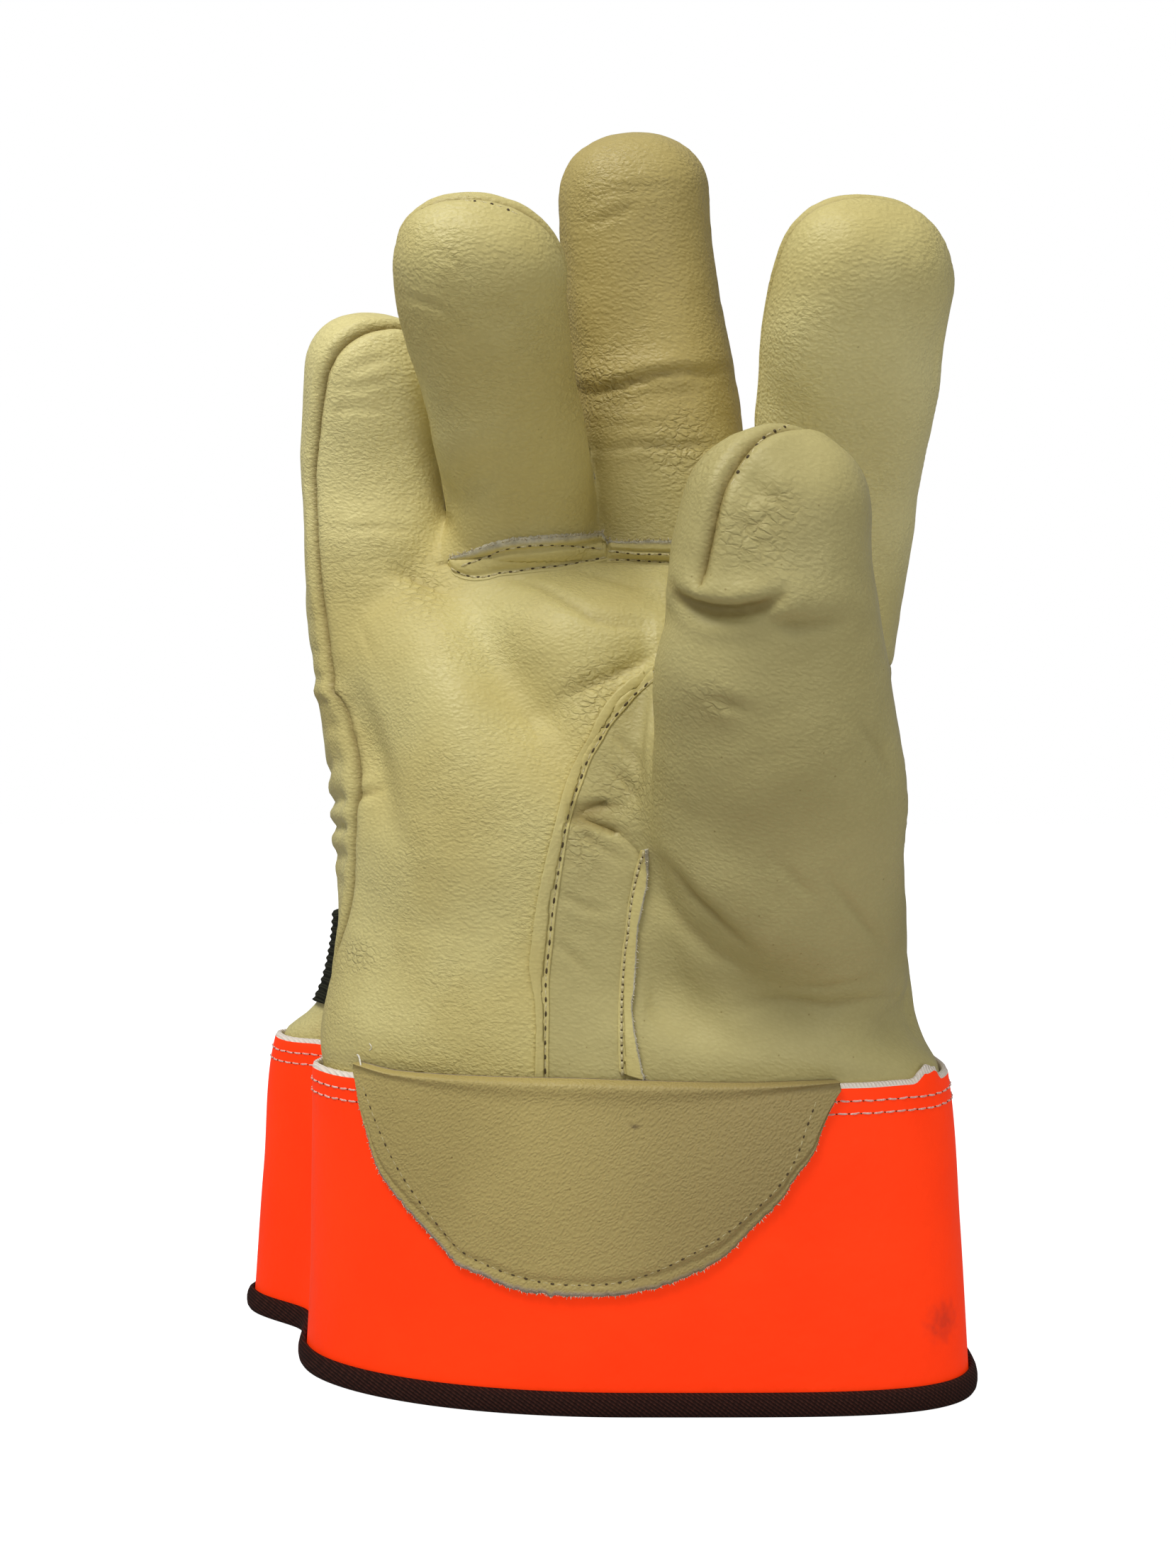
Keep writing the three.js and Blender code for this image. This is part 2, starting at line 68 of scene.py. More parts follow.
# Outline of the body by height: the four outermost points of each level section.
# fold: depth of the crease down the left side. seam_y: where palm and back meet on the left.
# lobe: squareness of the front left corner. reach: how far the crease spreads towards the front.
# corner: squareness of the front right corner. tuck: how far the leather lies inside the cuff.
BODY = table(
    "z left_x left_y front_x front_y right_x right_y back_y fold seam_y lobe reach corner tuck",
    [0, -83, 46, 10, -11, 82, 18, 60, 15, 20, 2.15, 20, 4.5, 2.1],
    [34, -80.5, 48, 10, -11.6, 80.5, 20, 61, 17, 20, 2.15, 16, 4.2, 2.1],
    [67, -77.5, 50, 6, -12, 78.5, 22, 62, 19, 20, 2.25, 14.5, 3.8, 2.1],
    [72, -70, 48, 6, -10.4, 74.5, 21, 59, 15, 18, 2.6, 13, 3.6, 0.6],
    [77, -66, 46, 6, -9.5, 72.5, 20, 56, 12, 18, 2.8, 12, 3.4, 0],
    [88, -63, 43, 6, -8.5, 70.5, 18, 52, 8, 15, 2.7, 12, 3, 0],
    [100, -61.5, 40, 6, -9, 69, 16, 48, 4, 11, 2.45, 14, 2.8, 0],
    [115, -61, 37, 2, -11, 67.5, 14, 47, 1, 9, 2.2, 20, 2.6, 0],
    [130, -60.5, 33, 0, -12, 65.5, 13, 46, 0, 8, 2.15, 26, 2.4, 0],
    [145, -61.5, 29, -4, -9, 65, 14, 45, 0, 9, 2.15, 26, 2.3, 0],
    [160, -63.5, 26, -4, -2, 65.5, 16, 42, 0, 11, 2.15, 26, 2.3, 0],
    [172, -64, 23, 0, 5, 66.5, 18, 38, 0, 13, 2.15, 26, 2.3, 0],
    [180, -61.5, 21, 0, 10, 65, 19, 34, 0, 14, 2.15, 26, 2.3, 0],
    [186, -49, 21, 0, 17, 54, 20, 25, 0, 14, 2.15, 26, 2.3, 0],
)

# Fingers and thumb by spine point, width and depth. The last row is the tip.
SPINE = "x y z width depth"
DIGITS = {
    "little": table(
        SPINE,
        [-46, 22, 150, 31, 28],
        [-47.2, 21, 176, 32.5, 27],
        [-47.7, 18, 195, 32, 26],
        [-47, 12, 213, 30.5, 25],
        [-44.5, 6, 229.5, 29, 24],
    ),
    "ring": table(
        SPINE,
        [-14.5, 22, 152, 32, 28],
        [-13.4, 19, 174, 32.5, 27],
        [-15.2, 8, 194, 32, 26],
        [-18.5, -8, 212, 31.5, 26],
        [-21, -21, 226, 33.5, 26],
        [-19.5, -31, 238, 33.5, 25],
    ),
    "middle": table(
        SPINE,
        [17.5, 22, 152, 34, 28],
        [18, 20, 176, 34, 27],
        [17.2, 17, 195, 35.5, 27],
        [14.9, 14, 215, 35, 27],
        [11.5, 10, 235, 33, 26],
        [8.5, 3, 266, 32, 25],
    ),
    "index": table(
        SPINE,
        [51, 22, 150, 33, 28],
        [54, 18, 174, 33, 27],
        [53.5, 8, 193, 35, 26],
        [53, -9, 209, 36, 26],
        [52.8, -22, 223, 35, 26],
        [57, -31, 237.5, 32, 25],
    ),
    "thumb": table(
        SPINE,
        [40, 14, 70, 56, 42],
        [40, 9, 86, 57, 44],
        [39.5, 2, 100, 55, 43],
        [38.5, -8, 114, 51, 40],
        [37.5, -17, 130, 49, 37],
        [35.5, -27, 146, 44, 34],
        [34, -34, 158, 40, 32],
        [33, -40, 170, 36, 30],
        [35.3, -46, 191.5, 30, 27],
    ),
}
FINGERS = ["little", "ring", "middle", "index"]

# Depth of the little finger's outer seam in front of its middle, by height
LITTLE_SEAM = table("z depth", [150, -12.6], [176, -11.6], [195, -10.6], [213, -13.0], [226, -16])

# Dents (+) and swellings (-) of the palm, as seen from the front
DENTS = table(
    "x z reach_x reach_z depth",
    [-44, 134, 11, 16, 3.2],
    [-18, 142, 12, 22, 2.2],
    [2, 162, 22, 8, -2.5],
    [24, 84, 12, 9, 1.6],
)

# The crease down the left side, and how square the back's corners are
FOLD_Y = 31.0
BACK_REACH = 9.8
BACK_SQUARENESS = 2.7

# Level folds that the elastic draws into the back of the wrist, and puckers of the side seam
GATHER_LOW = 104.0
GATHER_HIGH = 138.0
GATHER_PITCH = 7.4
GATHER_DEPTH = 1.3
GATHER_SHARPNESS = 1.5
PUCKER_PITCH = 6.6
PUCKER_DEPTH = 1.1
PUCKER_SHARPNESS = 2
PUCKER_REACH = 7.0
PUCKERS_BEGIN = (100, 112)
PUCKERS_END = (150, 172)
BEHIND_SEAM = (0.2, 5)

# How far the folds and the puckers stray from straight lines
STRAY_STRETCH = [0.6, 0.6, 1.0]
STRAY_SIZE = 16.0
STRAY_SEED = 3.7
GATHER_STRAY = 0.8
PUCKER_STRAY = 0.5

# Seams across the palm, as seen from the front
PALM_SEAM = table(
    "x z", [-8.6, 30], [-8.6, 40], [-9.5, 88], [-7.9, 104], [-4.8, 120], [-0.8, 134], [6.4, 145], [16, 152]
)
THUMB_SEAM = table("x z", [8, 30], [8, 40], [7.4, 88], [8.6, 104], [12, 115], [13, 122])
SHARE_TOP = table("x z", [16, 152], [58, 156], [110, 148])

# The thumb's side seams by height: degrees round from the front
THUMB_SIDES = table(
    "z left right",
    [104, 95, 120],
    [146, 100, 122],
    [153, 80, 122],
    [160, 46, 122],
    [166, 41, 122],
    [195, 38, 122],
)


# Reading the tables

def row_at(rows, key, value):
    """Every column of a table at the given values of its key column, on a smooth curve through the rows."""
    marks = rows[key]
    value = np.asarray(value, float)
    start = np.searchsorted(marks[1:-1], value, side="left")
    before, after = np.maximum(start - 1, 0), np.minimum(start + 2, len(marks) - 1)
    span = marks[start + 1] - marks[start]
    t = np.clip((value - marks[start]) / span, 0, 1)
    found = {}
    for name, column in rows.items():
        low, high = column[start], column[start + 1]
        slope_low = (high - column[before]) / (marks[start + 1] - marks[before])
        slope_high = (column[after] - low) / (marks[after] - marks[start])
        eased = low + t * t * (3 - 2 * t) * (high - low)
        found[name] = eased + span * t * (1 - t) * ((1 - t) * slope_low - t * slope_high)
    return found


def run_along(line):
    """Distances from the start of a line of points, one for each point."""
    return np.append(0, np.cumsum(np.linalg.norm(np.diff(line, axis=0), axis=1)))


def unit(directions):
    """The same directions with a length of one."""
    return directions / np.linalg.norm(directions, axis=-1, keepdims=True)


def bell(off, width):
    """One at no distance, falling smoothly to nothing on both sides."""
    return np.exp(-((off / width) ** 2))


def outline_point(row, turn):
    """Points of level sections. A turn of 0 is the left, a quarter the front and a half the right."""
    angle = 2 * np.pi * turn
    right = np.cos(angle) < 0
    front = np.sin(angle) > 0
    square = np.where(front, np.where(right, row["corner"], row["lobe"]), BACK_SQUARENESS)
    side = np.abs(np.cos(angle)) ** (2 / square)
    face = np.abs(np.sin(angle)) ** (2 / square)
    side_x = np.where(right, row["right_x"], row["left_x"])
    side_y = np.where(right, row["right_y"], row["left_y"])
    x = row["front_x"] + (side_x - row["front_x"]) * side
    y = side_y + (np.where(front, row["front_y"], row["back_y"]) - side_y) * face
    reach = np.where(y < FOLD_Y, row["reach"], BACK_REACH)
    x = x + np.where(right, 0, row["fold"] * bell(y - FOLD_Y, reach))
    for dent_x, dent_z, reach_x, reach_z, depth in zip(*DENTS.values()):
        far = ((x - dent_x) / reach_x) ** 2 + ((row["z"] - dent_z) / reach_z) ** 2
        y = y + np.where(front, depth * np.exp(-far), 0)
    return x, y


def level_rings(heights, turns, inward=0.0, step=0.004):
    """Level sections of the body at these heights, moved in by inward: an array of rings of points."""
    z = np.asarray(heights, float)[:, None]
    turn = np.asarray(turns, float)[None, :]
    row = row_at(BODY, "z", z)
    row["z"] = z
    x, y = outline_point(row, turn)
    x_before, y_before = outline_point(row, turn - step)
    x_after, y_after = outline_point(row, turn + step)
    along = np.stack([x_after - x_before, y_after - y_before])
    along = along / np.linalg.norm(along, axis=0)
    inward = inward + np.zeros_like(x)
    return np.stack([x - along[1] * inward, y + along[0] * inward, z + np.zeros_like(x)], -1)


def bunched_turns(sides, bunching=0.6):
    """Turns round the body, closer together at the crease on the left."""
    even = np.arange(sides) / sides
    return even - bunching / (2 * np.pi) * np.sin(2 * np.pi * even)


def find_shift(corners=38):
    """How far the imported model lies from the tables, from the corners of its cuff."""
    rings = level_rings([CUFF_SEAT, CUFF_MIDDLE, LEATHER_HEM, CUFF_TOP], bunched_turns(corners))
    low = rings.reshape(-1, 3).min(0)
    return np.array(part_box("cuff")[0]) * METRE - low


SHIFT = find_shift()


# The camera stands where the photograph was taken from, with the picture in its own pixels

CAMERA = np.array([0.0, -286.0, 128.0])
PICTURE_WIDTH = 1659
PICTURE_HEIGHT = 2212
FOCAL_PIXELS = 1915.6


def new_object(name, data):
    thing = bpy.data.objects.new(name, data)
    bpy.context.scene.collection.objects.link(thing)
    return thing


def set_camera(sensor=24):
    camera = new_object("camera", bpy.data.cameras.new("camera"))
    camera.data.sensor_fit = "VERTICAL"
    camera.data.sensor_height = sensor
    camera.data.lens = sensor * FOCAL_PIXELS / PICTURE_HEIGHT
    camera.data.clip_start = 0.01
    camera.location = Vector((CAMERA + SHIFT) / METRE)
    camera.rotation_euler = (math.radians(90), 0, 0)
    bpy.context.scene.camera = camera


def picture_point(points):
    """Where points are seen in the picture, across and down."""
    depth = points[:, 1] - CAMERA[1]
    across = PICTURE_WIDTH / 2 + FOCAL_PIXELS * (points[:, 0] - CAMERA[0]) / depth
    down = PICTURE_HEIGHT / 2 - FOCAL_PIXELS * (points[:, 2] - CAMERA[2]) / depth
    return np.stack([across, down], -1), depth / FOCAL_PIXELS


set_camera()


# The leather's form as depth fields: millimetres from each part's surface, on one grid

VOXEL = 1.12
BAND = 9
GRID_LOW = np.array([-84, -66, 34])
GRID_SHAPE = (170, 136, 212)
GRID = openvdb.createLinearTransform(voxelSize=VOXEL)

# How softly fingers meet each other, and how softly fingers and thumb grow out of the hand
FINGERS_APART = 0.8
FINGER_ROOTS = 7.0
THUMB_ROOT = 9.0
JOIN_REACH = 8


def closed_stack(rings):
    """Points, quads and end triangles of a stack of like rings."""
    count, sides = rings.shape[:2]
    row, side = np.arange(count - 1)[:, None] * sides, np.arange(sides)
    nearer, further = row + side, row + (side + 1) % sides
    quads = np.stack([nearer, further, further + sides, nearer + sides], -1).reshape(-1, 4)
    points = np.concatenate([rings.reshape(-1, 3), rings[[0, -1]].mean(1)])
    fans = []
    for end, centre in ((0, count * sides), (count - 1, count * sides + 1)):
        rim = end * sides + side
        fans.append(np.stack([np.full(sides, centre), rim, np.roll(rim, -1)], -1))
    return points, quads, np.concatenate(fans)


def depth_field(rings):
    points, quads, triangles = closed_stack(rings)
    grid = openvdb.FloatGrid.createLevelSetFromPolygons(
        points.astype(np.float32), triangles=triangles.astype(np.uint32),
        quads=quads.astype(np.uint32), transform=GRID, halfWidth=BAND,
    )
    field = np.full(GRID_SHAPE, BAND * VOXEL, np.float32)
    grid.copyToArray(field, ijk=tuple(int(n) for n in GRID_LOW))
    return field


def sample(field, points):
    """A field's value at points, blended between the grid's eight nearest corners."""
    spots = points / VOXEL - GRID_LOW
    base = np.clip(np.floor(spots).astype(int), 0, np.array(field.shape) - 2)
    part = np.clip(spots - base, 0, 1)
    total = np.zeros(len(points))
    for corner in np.ndindex(2, 2, 2):
        share = np.prod(np.where(corner, part, 1 - part), axis=1)
        total += share * field[tuple((base + corner).T)]
    return total


def slope(field, points, step=0.6):
    """The direction in which a field grows fastest at each point, of length one."""
    parts = []
    for axis in range(3):
        move = np.zeros(3)
        move[axis] = step
        parts.append(sample(field, points + move) - sample(field, points - move))
    grown = np.stack(parts, -1)
    return grown / np.maximum(np.linalg.norm(grown, axis=1, keepdims=True), 1e-6)


def soft_union(one, other, softness):
    """Two forms in one, with the corner where they meet filled, and nothing where they run side by side."""
    near = (np.abs(one) < JOIN_REACH) & (np.abs(other) < JOIN_REACH)
    together = sum(a * b for a, b in zip(np.gradient(one), np.gradient(other))) / VOXEL ** 2
    width = softness * np.clip(1 - together, 0.02, 1) + 0.01
    h = np.clip(0.5 + 0.5 * (other - one) / width, 0, 1)
    blended = other + (one - other) * h - width * h * (1 - h)
    return np.where(near, blended, np.minimum(one, other)).astype(np.float32)


def body_rings(below_hem=6, last_step=0.3, sides=400):
    heights = np.arange(LEATHER_HEM - below_hem, BODY_TOP + 0.1, 1.0)
    heights = np.append(heights[:-1], [BODY_TOP - last_step, BODY_TOP])
    tuck = row_at(BODY, "z", heights)["tuck"]
    return level_rings(heights, bunched_turns(sides), tuck[:, None])


def digit_stations(rows, spacing=1.5, dome=14.0, dome_rows=16, roundness=2.2, step=0.5):
    """Places along a digit with their axes, half sizes and the taper of the rounded tip."""
    rows = dict(rows, run=run_along(np.stack([rows[axis] for axis in "xyz"], -1)))
    length = rows["run"][-1]
    marks = np.arange(0, length - dome, spacing)
    bend = 1 - (1 - np.linspace(0, 0.999, dome_rows)) ** 2
    marks = np.append(marks, length - dome + dome * bend)
    spots = row_at(rows, "run", marks)
    ahead = row_at(rows, "run", np.minimum(marks + step, length))
    behind = row_at(rows, "run", np.maximum(marks - step, 0))
    along = unit(np.stack([ahead[axis] - behind[axis] for axis in "xyz"], -1))
    back = unit(np.cross(along, [1.0, 0, 0]))
    part = np.clip((marks - (length - dome)) / dome, 0, 1)
    return {
        "centre": np.stack([spots[axis] for axis in "xyz"], -1),
        "back": back,
        "across": np.cross(back, along),
        "half_width": spots["width"] / 2,
        "half_depth": spots["depth"] / 2,
        "taper": (1 - part ** roundness) ** (1 / roundness),
    }


STATIONS = {name: digit_stations(rows) for name, rows in DIGITS.items()}


def digit_rings(spots, sides=72, squareness=0.88, least=0.4):
    angle = 2 * np.pi * np.arange(sides) / sides
    rings = spots["centre"][:, None]
    for part, size, way in ((np.cos(angle), "half_width", "across"), (np.sin(angle), "half_depth", "back")):
        part = np.sign(part) * np.abs(part) ** squareness
        reach = np.maximum(spots[size] * spots["taper"], least)[:, None, None]
        rings = rings + reach * part[None, :, None] * spots[way][:, None]
    return rings


def place_on_digit(name, points, block=20000):
    """Places across a digit's spine and behind it, as shares of its half sizes there, and those sizes."""
    spots = STATIONS[name]
    marks = spots["centre"]
    nearest = np.empty(len(points), int)
    for start in range(0, len(points), block):
        some = points[start:start + block]
        nearest[start:start + block] = ((some[:, None] - marks) ** 2).sum(2).argmin(1)
    off = points - marks[nearest]
    half_width = spots["half_width"][nearest]
    half_depth = spots["half_depth"][nearest]
    side = (off * spots["across"][nearest]).sum(1) / half_width
    behind = (off * spots["back"][nearest]).sum(1) / half_depth
    return {"side": side, "behind": behind, "half_width": half_width, "half_depth": half_depth}


FIELDS = {"body": depth_field(body_rings())}
for digit in DIGITS:
    FIELDS[digit] = depth_field(digit_rings(STATIONS[digit]))


def whole_form():
    fingers = FIELDS["little"]
    for name in FINGERS[1:]:
        fingers = soft_union(fingers, FIELDS[name], FINGERS_APART)
    hand = soft_union(FIELDS["body"], fingers, FINGER_ROOTS)
    return soft_union(hand, FIELDS["thumb"], THUMB_ROOT)


FORM = whole_form()


def face_corners(points, triangles):
    return (points[triangles[:, i]] for i in range(3))


def faces_inwards(points, triangles):
    a, b, c = face_corners(points, triangles)
    return (a * np.cross(b, c)).sum() < 0


def form_surface():
    """Points and triangles of the whole leather form."""
    grid = openvdb.FloatGrid(background=BAND * VOXEL)
    grid.transform = GRID
    grid.copyFromArray(FORM, ijk=tuple(int(n) for n in GRID_LOW), tolerance=0.0)
    grid.gridClass = openvdb.GridClass.LEVEL_SET
    points, _, quads = grid.convertToPolygons(isovalue=0.0, adaptivity=0.0)
    points = points.astype(float)
    for _ in range(2):
        points -= sample(FORM, points)[:, None] * slope(FORM, points)
    across = np.linalg.norm(points[quads[:, 0]] - points[quads[:, 2]], axis=1)
    other = np.linalg.norm(points[quads[:, 1]] - points[quads[:, 3]], axis=1)
    first = np.where((across < other)[:, None], quads[:, [0, 1, 2]], quads[:, [0, 1, 3]])
    second = np.where((across < other)[:, None], quads[:, [0, 2, 3]], quads[:, [1, 2, 3]])
    triangles = np.concatenate([first, second]).astype(int)
    if faces_inwards(points, triangles):
        triangles = triangles[:, ::-1]
    return points, triangles


# Fields that say which panel a place belongs to, and how far the nearest seam is

SNAP = 0.1
MARGIN = 0.2
OFF_SEAM = -9
PALM_LEFT = -40
PALM_ENDS = (172, 184)
FRONTS_FROM = 150
FRONTS_REACH = 1.5
THUMB_STANDS_FROM = 118
THUMB_APART_FROM = 130
THUMB_SEAM_ENDS = (110, 122)


def smooth_step(value, low, high):
    t = np.clip((value - low) / (high - low), 0, 1)
    return t * t * (3 - 2 * t)


def nearness(points):
    """How far each point lies from every part of the form."""
    return {name: sample(field, points) for name, field in FIELDS.items()}


def front_field(points, near, blend=1.2):
    """Positive in front of the side seams, negative behind them."""
    row = row_at(BODY, "z", points[:, 2])
    x = points[:, 0]
    part = np.clip((x - PALM_LEFT) / (row["right_x"] - PALM_LEFT), 0, 1)
    body = row["seam_y"] + (row["right_y"] - row["seam_y"]) * part - points[:, 1]
    values = {"body": body, "thumb": body}
    for name in FINGERS:
        spot = place_on_digit(name, points)
        outer = np.clip(0.5 - 0.5 * spot["side"], 0, 1)
        seam = outer * np.interp(points[:, 2], *LITTLE_SEAM.values()) if name == "little" else 0
        values[name] = seam - spot["behind"] * spot["half_depth"]
    least = np.min(list(near.values()), axis=0)
    shares = {name: np.exp(-(near[name] - least) / blend) for name in near}
    shares["body"] = shares["body"] * (1 - smooth_step(points[:, 2], *PALM_ENDS))
    return sum(shares[name] * values[name] for name in near) / sum(shares.values())


def thumb_share_field(points, near):
    """Positive on the thumb's two panels, negative on the palm."""
    x, z = points[:, 0], points[:, 2]
    beside = x - np.interp(z, PALM_SEAM["z"], PALM_SEAM["x"])
    under = np.interp(x, SHARE_TOP["x"], SHARE_TOP["z"]) - z
    rest = np.min([near[name] for name in near if name != "thumb"], axis=0)
    apart = np.where(z > THUMB_APART_FROM, rest - near["thumb"], OFF_SEAM)
    return np.maximum(np.minimum(beside, under), apart)


def thumb_outer_field(points):
    """Positive on the thumb's outer panel, negative on its inner one."""
    x, z = points[:, 0], points[:, 2]
    spot = place_on_digit("thumb", points)
    sides = row_at(THUMB_SIDES, "z", z)
    ends = []
    for angle, sign in ((sides["left"], -1), (sides["right"], 1)):
        angle = np.radians(angle)
        ends.append((sign * np.sin(angle) * spot["half_width"], -np.cos(angle) * spot["half_depth"]))
    (left_x, left_y), (right_x, right_y) = ends
    chord_x, chord_y = right_x - left_x, right_y - left_y
    off_x, off_y = spot["side"] * spot["half_width"] - left_x, spot["behind"] * spot["half_depth"] - left_y
    chord = (chord_y * off_x - chord_x * off_y) / np.hypot(chord_x, chord_y)
    beside = x - np.interp(z, THUMB_SEAM["z"], THUMB_SEAM["x"])
    on_thumb = smooth_step(z, *THUMB_SEAM_ENDS)
    return beside * (1 - on_thumb) + chord * on_thumb


def split_along(points, triangles, values):
    """Triangles cut where the values change sign, so that none lies on both sides."""
    side = np.sign(np.where(np.abs(values) < SNAP, 0, values)).astype(int)
    corner = side[triangles]
    ahead = np.roll(triangles, -1, 1)
    crossing = corner * side[ahead] < 0
    low, high = np.minimum(triangles, ahead), np.maximum(triangles, ahead)
    keys = low * len(points) + high
    cut_keys = np.unique(keys[crossing])
    start, end = cut_keys // len(points), cut_keys % len(points)
    part = (values[start] / (values[start] - values[end]))[:, None]
    fresh = points[start] * (1 - part) + points[end] * part
    middle = len(points) + np.searchsorted(cut_keys, keys)
    count = crossing.sum(1)
    kept = [triangles[count == 0]]

    def turned(chosen, first):
        order = (first[:, None] + np.arange(3)) % 3
        return [np.take_along_axis(values[chosen], order, 1) for values in (triangles, middle)]

    one = count == 1
    corners, cuts = turned(one, crossing[one].argmax(1))
    kept.append(np.stack([corners[:, 0], cuts[:, 0], corners[:, 2]], -1))
    kept.append(np.stack([cuts[:, 0], corners[:, 1], corners[:, 2]], -1))
    two = count == 2
    lone = ((~crossing[two]).argmax(1) + 2) % 3
    corners, cuts = turned(two, lone)
    kept.append(np.stack([corners[:, 0], cuts[:, 0], cuts[:, 2]], -1))
    kept.append(np.stack([cuts[:, 0], corners[:, 1], corners[:, 2]], -1))
    kept.append(np.stack([cuts[:, 0], corners[:, 2], cuts[:, 2]], -1))
    return np.concatenate([points, fresh]), np.concatenate(kept)


def cut_panels(points, triangles):
    """The form without its bottom, cut along every seam."""
    points, triangles = split_along(points, triangles, points[:, 2] - LEATHER_HEM)
    triangles = triangles[points[triangles][:, :, 2].mean(1) > LEATHER_HEM]
    points, triangles = split_along(points, triangles, front_field(points, nearness(points)))
    for seam in (thumb_share_seam, thumb_outer_seam, finger_base_seam, ring_side_seam, middle_side_seam):
        points, triangles = split_along(points, triangles, seam(points))
    used, corners = np.unique(triangles, return_inverse=True)
    return points[used], corners.reshape(triangles.shape)


def thumb_share_seam(points):
    near = nearness(points)
    return np.where(front_field(points, near) > -MARGIN, thumb_share_field(points, near), OFF_SEAM)


def thumb_outer_seam(points):
    near = nearness(points)
    shared = (front_field(points, near) > -MARGIN) & (thumb_share_field(points, near) > -MARGIN)
    return np.where(shared, thumb_outer_field(points), OFF_SEAM)


def on_finger_fronts(points, near, lowest):
    inner, outer = np.minimum(near["ring"], near["middle"]), np.minimum(near["little"], near["index"])
    ring_or_middle = inner < outer + FRONTS_REACH
    front = front_field(points, near) > -MARGIN
    return ring_or_middle & front & (points[:, 2] > lowest) & (thumb_share_field(points, near) < MARGIN)


def finger_base_seam(points):
    chosen = on_finger_fronts(points, nearness(points), FRONTS_FROM)
    return np.where(chosen, points[:, 2] - FINGER_SEAM, OFF_SEAM)


def finger_side_seam(points, finger, neighbours):
    near = nearness(points)
    chosen = on_finger_fronts(points, near, FINGER_SEAM - MARGIN)
    return np.where(chosen, np.minimum(*(near[name] for name in neighbours)) - near[finger], OFF_SEAM)


def ring_side_seam(points):
    return finger_side_seam(points, "ring", ("little", "middle"))


def middle_side_seam(points):
    return finger_side_seam(points, "middle", ("index", "ring"))


def panel_names(points):
    """The name of the panel that each place belongs to."""
    near = nearness(points)
    front = front_field(points, near) > 0
    share = thumb_share_field(points, near) > 0
    outer = thumb_outer_field(points) > 0
    above = (points[:, 2] > FINGER_SEAM) & ~share
    least = np.min([near["little"], near["middle"], near["ring"], near["index"]], axis=0)
    names = np.full(len(points), "palm", dtype="<U24")
    names[above & (near["ring"] == least)] = "ring_finger_front"
    names[above & (near["middle"] == least)] = "middle_finger_front"
    names[share & outer] = "thumb_outer"
    names[share & ~outer] = "thumb_inner"
    names[~front] = "back"
    return names


def smooth_normals(points, triangles):
    """Outward directions of length one, weighted by the size of the faces round each point."""
    a, b, c = face_corners(points, triangles)
    face = np.cross(b - a, c - a)
    normals = np.zeros_like(points)
    for i in range(3):
        for axis in range(3):
            normals[:, axis] += np.bincount(triangles[:, i], face[:, axis], len(points))
    return normals / np.maximum(np.linalg.norm(normals, axis=1, keepdims=True), 1e-9)


# Folds and hollows as the picture shows them, in the picture's pixels across and down, with sizes in
# millimetres. A crease has a depth, a width and the line that it follows.

SWELLS = "across down angle long short height"
PALM_SWELLS = table(
    SWELLS,
    [820, 868, 14, 26, 11, 2.6],
    [724, 958, 57, 24, 6, -3.2],
    [775, 925, 15, 20, 8, 2.2],
    [634, 985, 62, 26, 9, 2.2],
    [519, 1052, 69, 15, 3.8, -3.3],
    [610, 1165, 60, 24, 18, 2.4],
    [590, 815, 25, 10, 3.4, -1.0],
    [520, 770, 15, 12, 7, 0.8],
    [855, 962, -26, 20, 4, -1.6],
    [900, 930, -30, 15, 5, 0.9],
    [640, 1230, 85, 40, 14, 0.8],
    [560, 1360, 85, 30, 8, -0.6],
)
THUMB_SWELLS = table(
    SWELLS,
    [1025, 838, 4, 17, 3.4, 1.6],
    [1000, 868, 8, 16, 3, -0.9],
    [1141, 647, 40, 5, 4, -0.9],
    [1056, 682, 60, 5, 3, -1.2],
    [1010, 700, 105, 16, 3, 0.5],
    [1120, 1000, 60, 30, 16, 0.8],
    [985, 1310, 48, 18, 4.5, -2.2],
    [1065, 1290, 44, 22, 7, 1.8],
    [1090, 1100, 15, 26, 14, 3.0],
    [975, 950, 10, 14, 9, 2.2],
    [1130, 1428, 5, 28, 8, -3.4],
    [1130, 1488, 4, 28, 5.5, 2.6],
)
RING_SWELLS = table(
    SWELLS,
    [645, 700, -42, 13, 5, -1.6],
    [700, 620, 5, 16, 12, 1.6],
    [560, 520, 80, 14, 5, -0.6],
)
MIDDLE_SWELLS = table(
    SWELLS,
    [905, 430, -60, 16, 8, -1.0],
    [900, 520, -8, 16, 3.2, 0.7],
    [905, 556, -6, 16, 3.6, -0.6],
)
INDEX_SWELLS = table(
    SWELLS,
    [1130, 500, 75, 14, 6, 0.8],
    [1310, 500, 90, 8, 5, -1.2],
    [1230, 640, 80, 20, 8, -0.6],
)
LITTLE_SWELLS = table(
    SWELLS,
    [560, 620, 80, 18, 5, -0.8],
    [500, 560, 80, 16, 6, 0.5],
)

PALM_CREASES = [
    (0.55, 0.9, [(706, 808), (745, 830), (788, 854), (834, 882), (870, 890), (917, 889)]),
    (0.7, 1.0, [(790, 985), (830, 968), (860, 958), (890, 944), (925, 928)]),
    (0.35, 0.8, [(790, 800), (850, 822), (895, 836), (930, 833)]),
    (0.8, 1.0, [(503, 1129), (515, 1120), (540, 1111)]),
    (0.5, 0.9, [(555, 800), (585, 818), (610, 828), (636, 833)]),
    (0.3, 0.8, [(505, 880), (514, 888), (520, 903), (530, 930)]),
    (0.35, 0.8, [(735, 1000), (752, 1030), (765, 1052), (790, 1075)]),
    (0.3, 0.7, [(720, 1035), (745, 1045), (770, 1075)]),
    (0.3, 0.7, [(460, 800), (500, 792), (545, 795)]),
    (0.3, 0.7, [(455, 815), (500, 808), (560, 812), (600, 822)]),
]
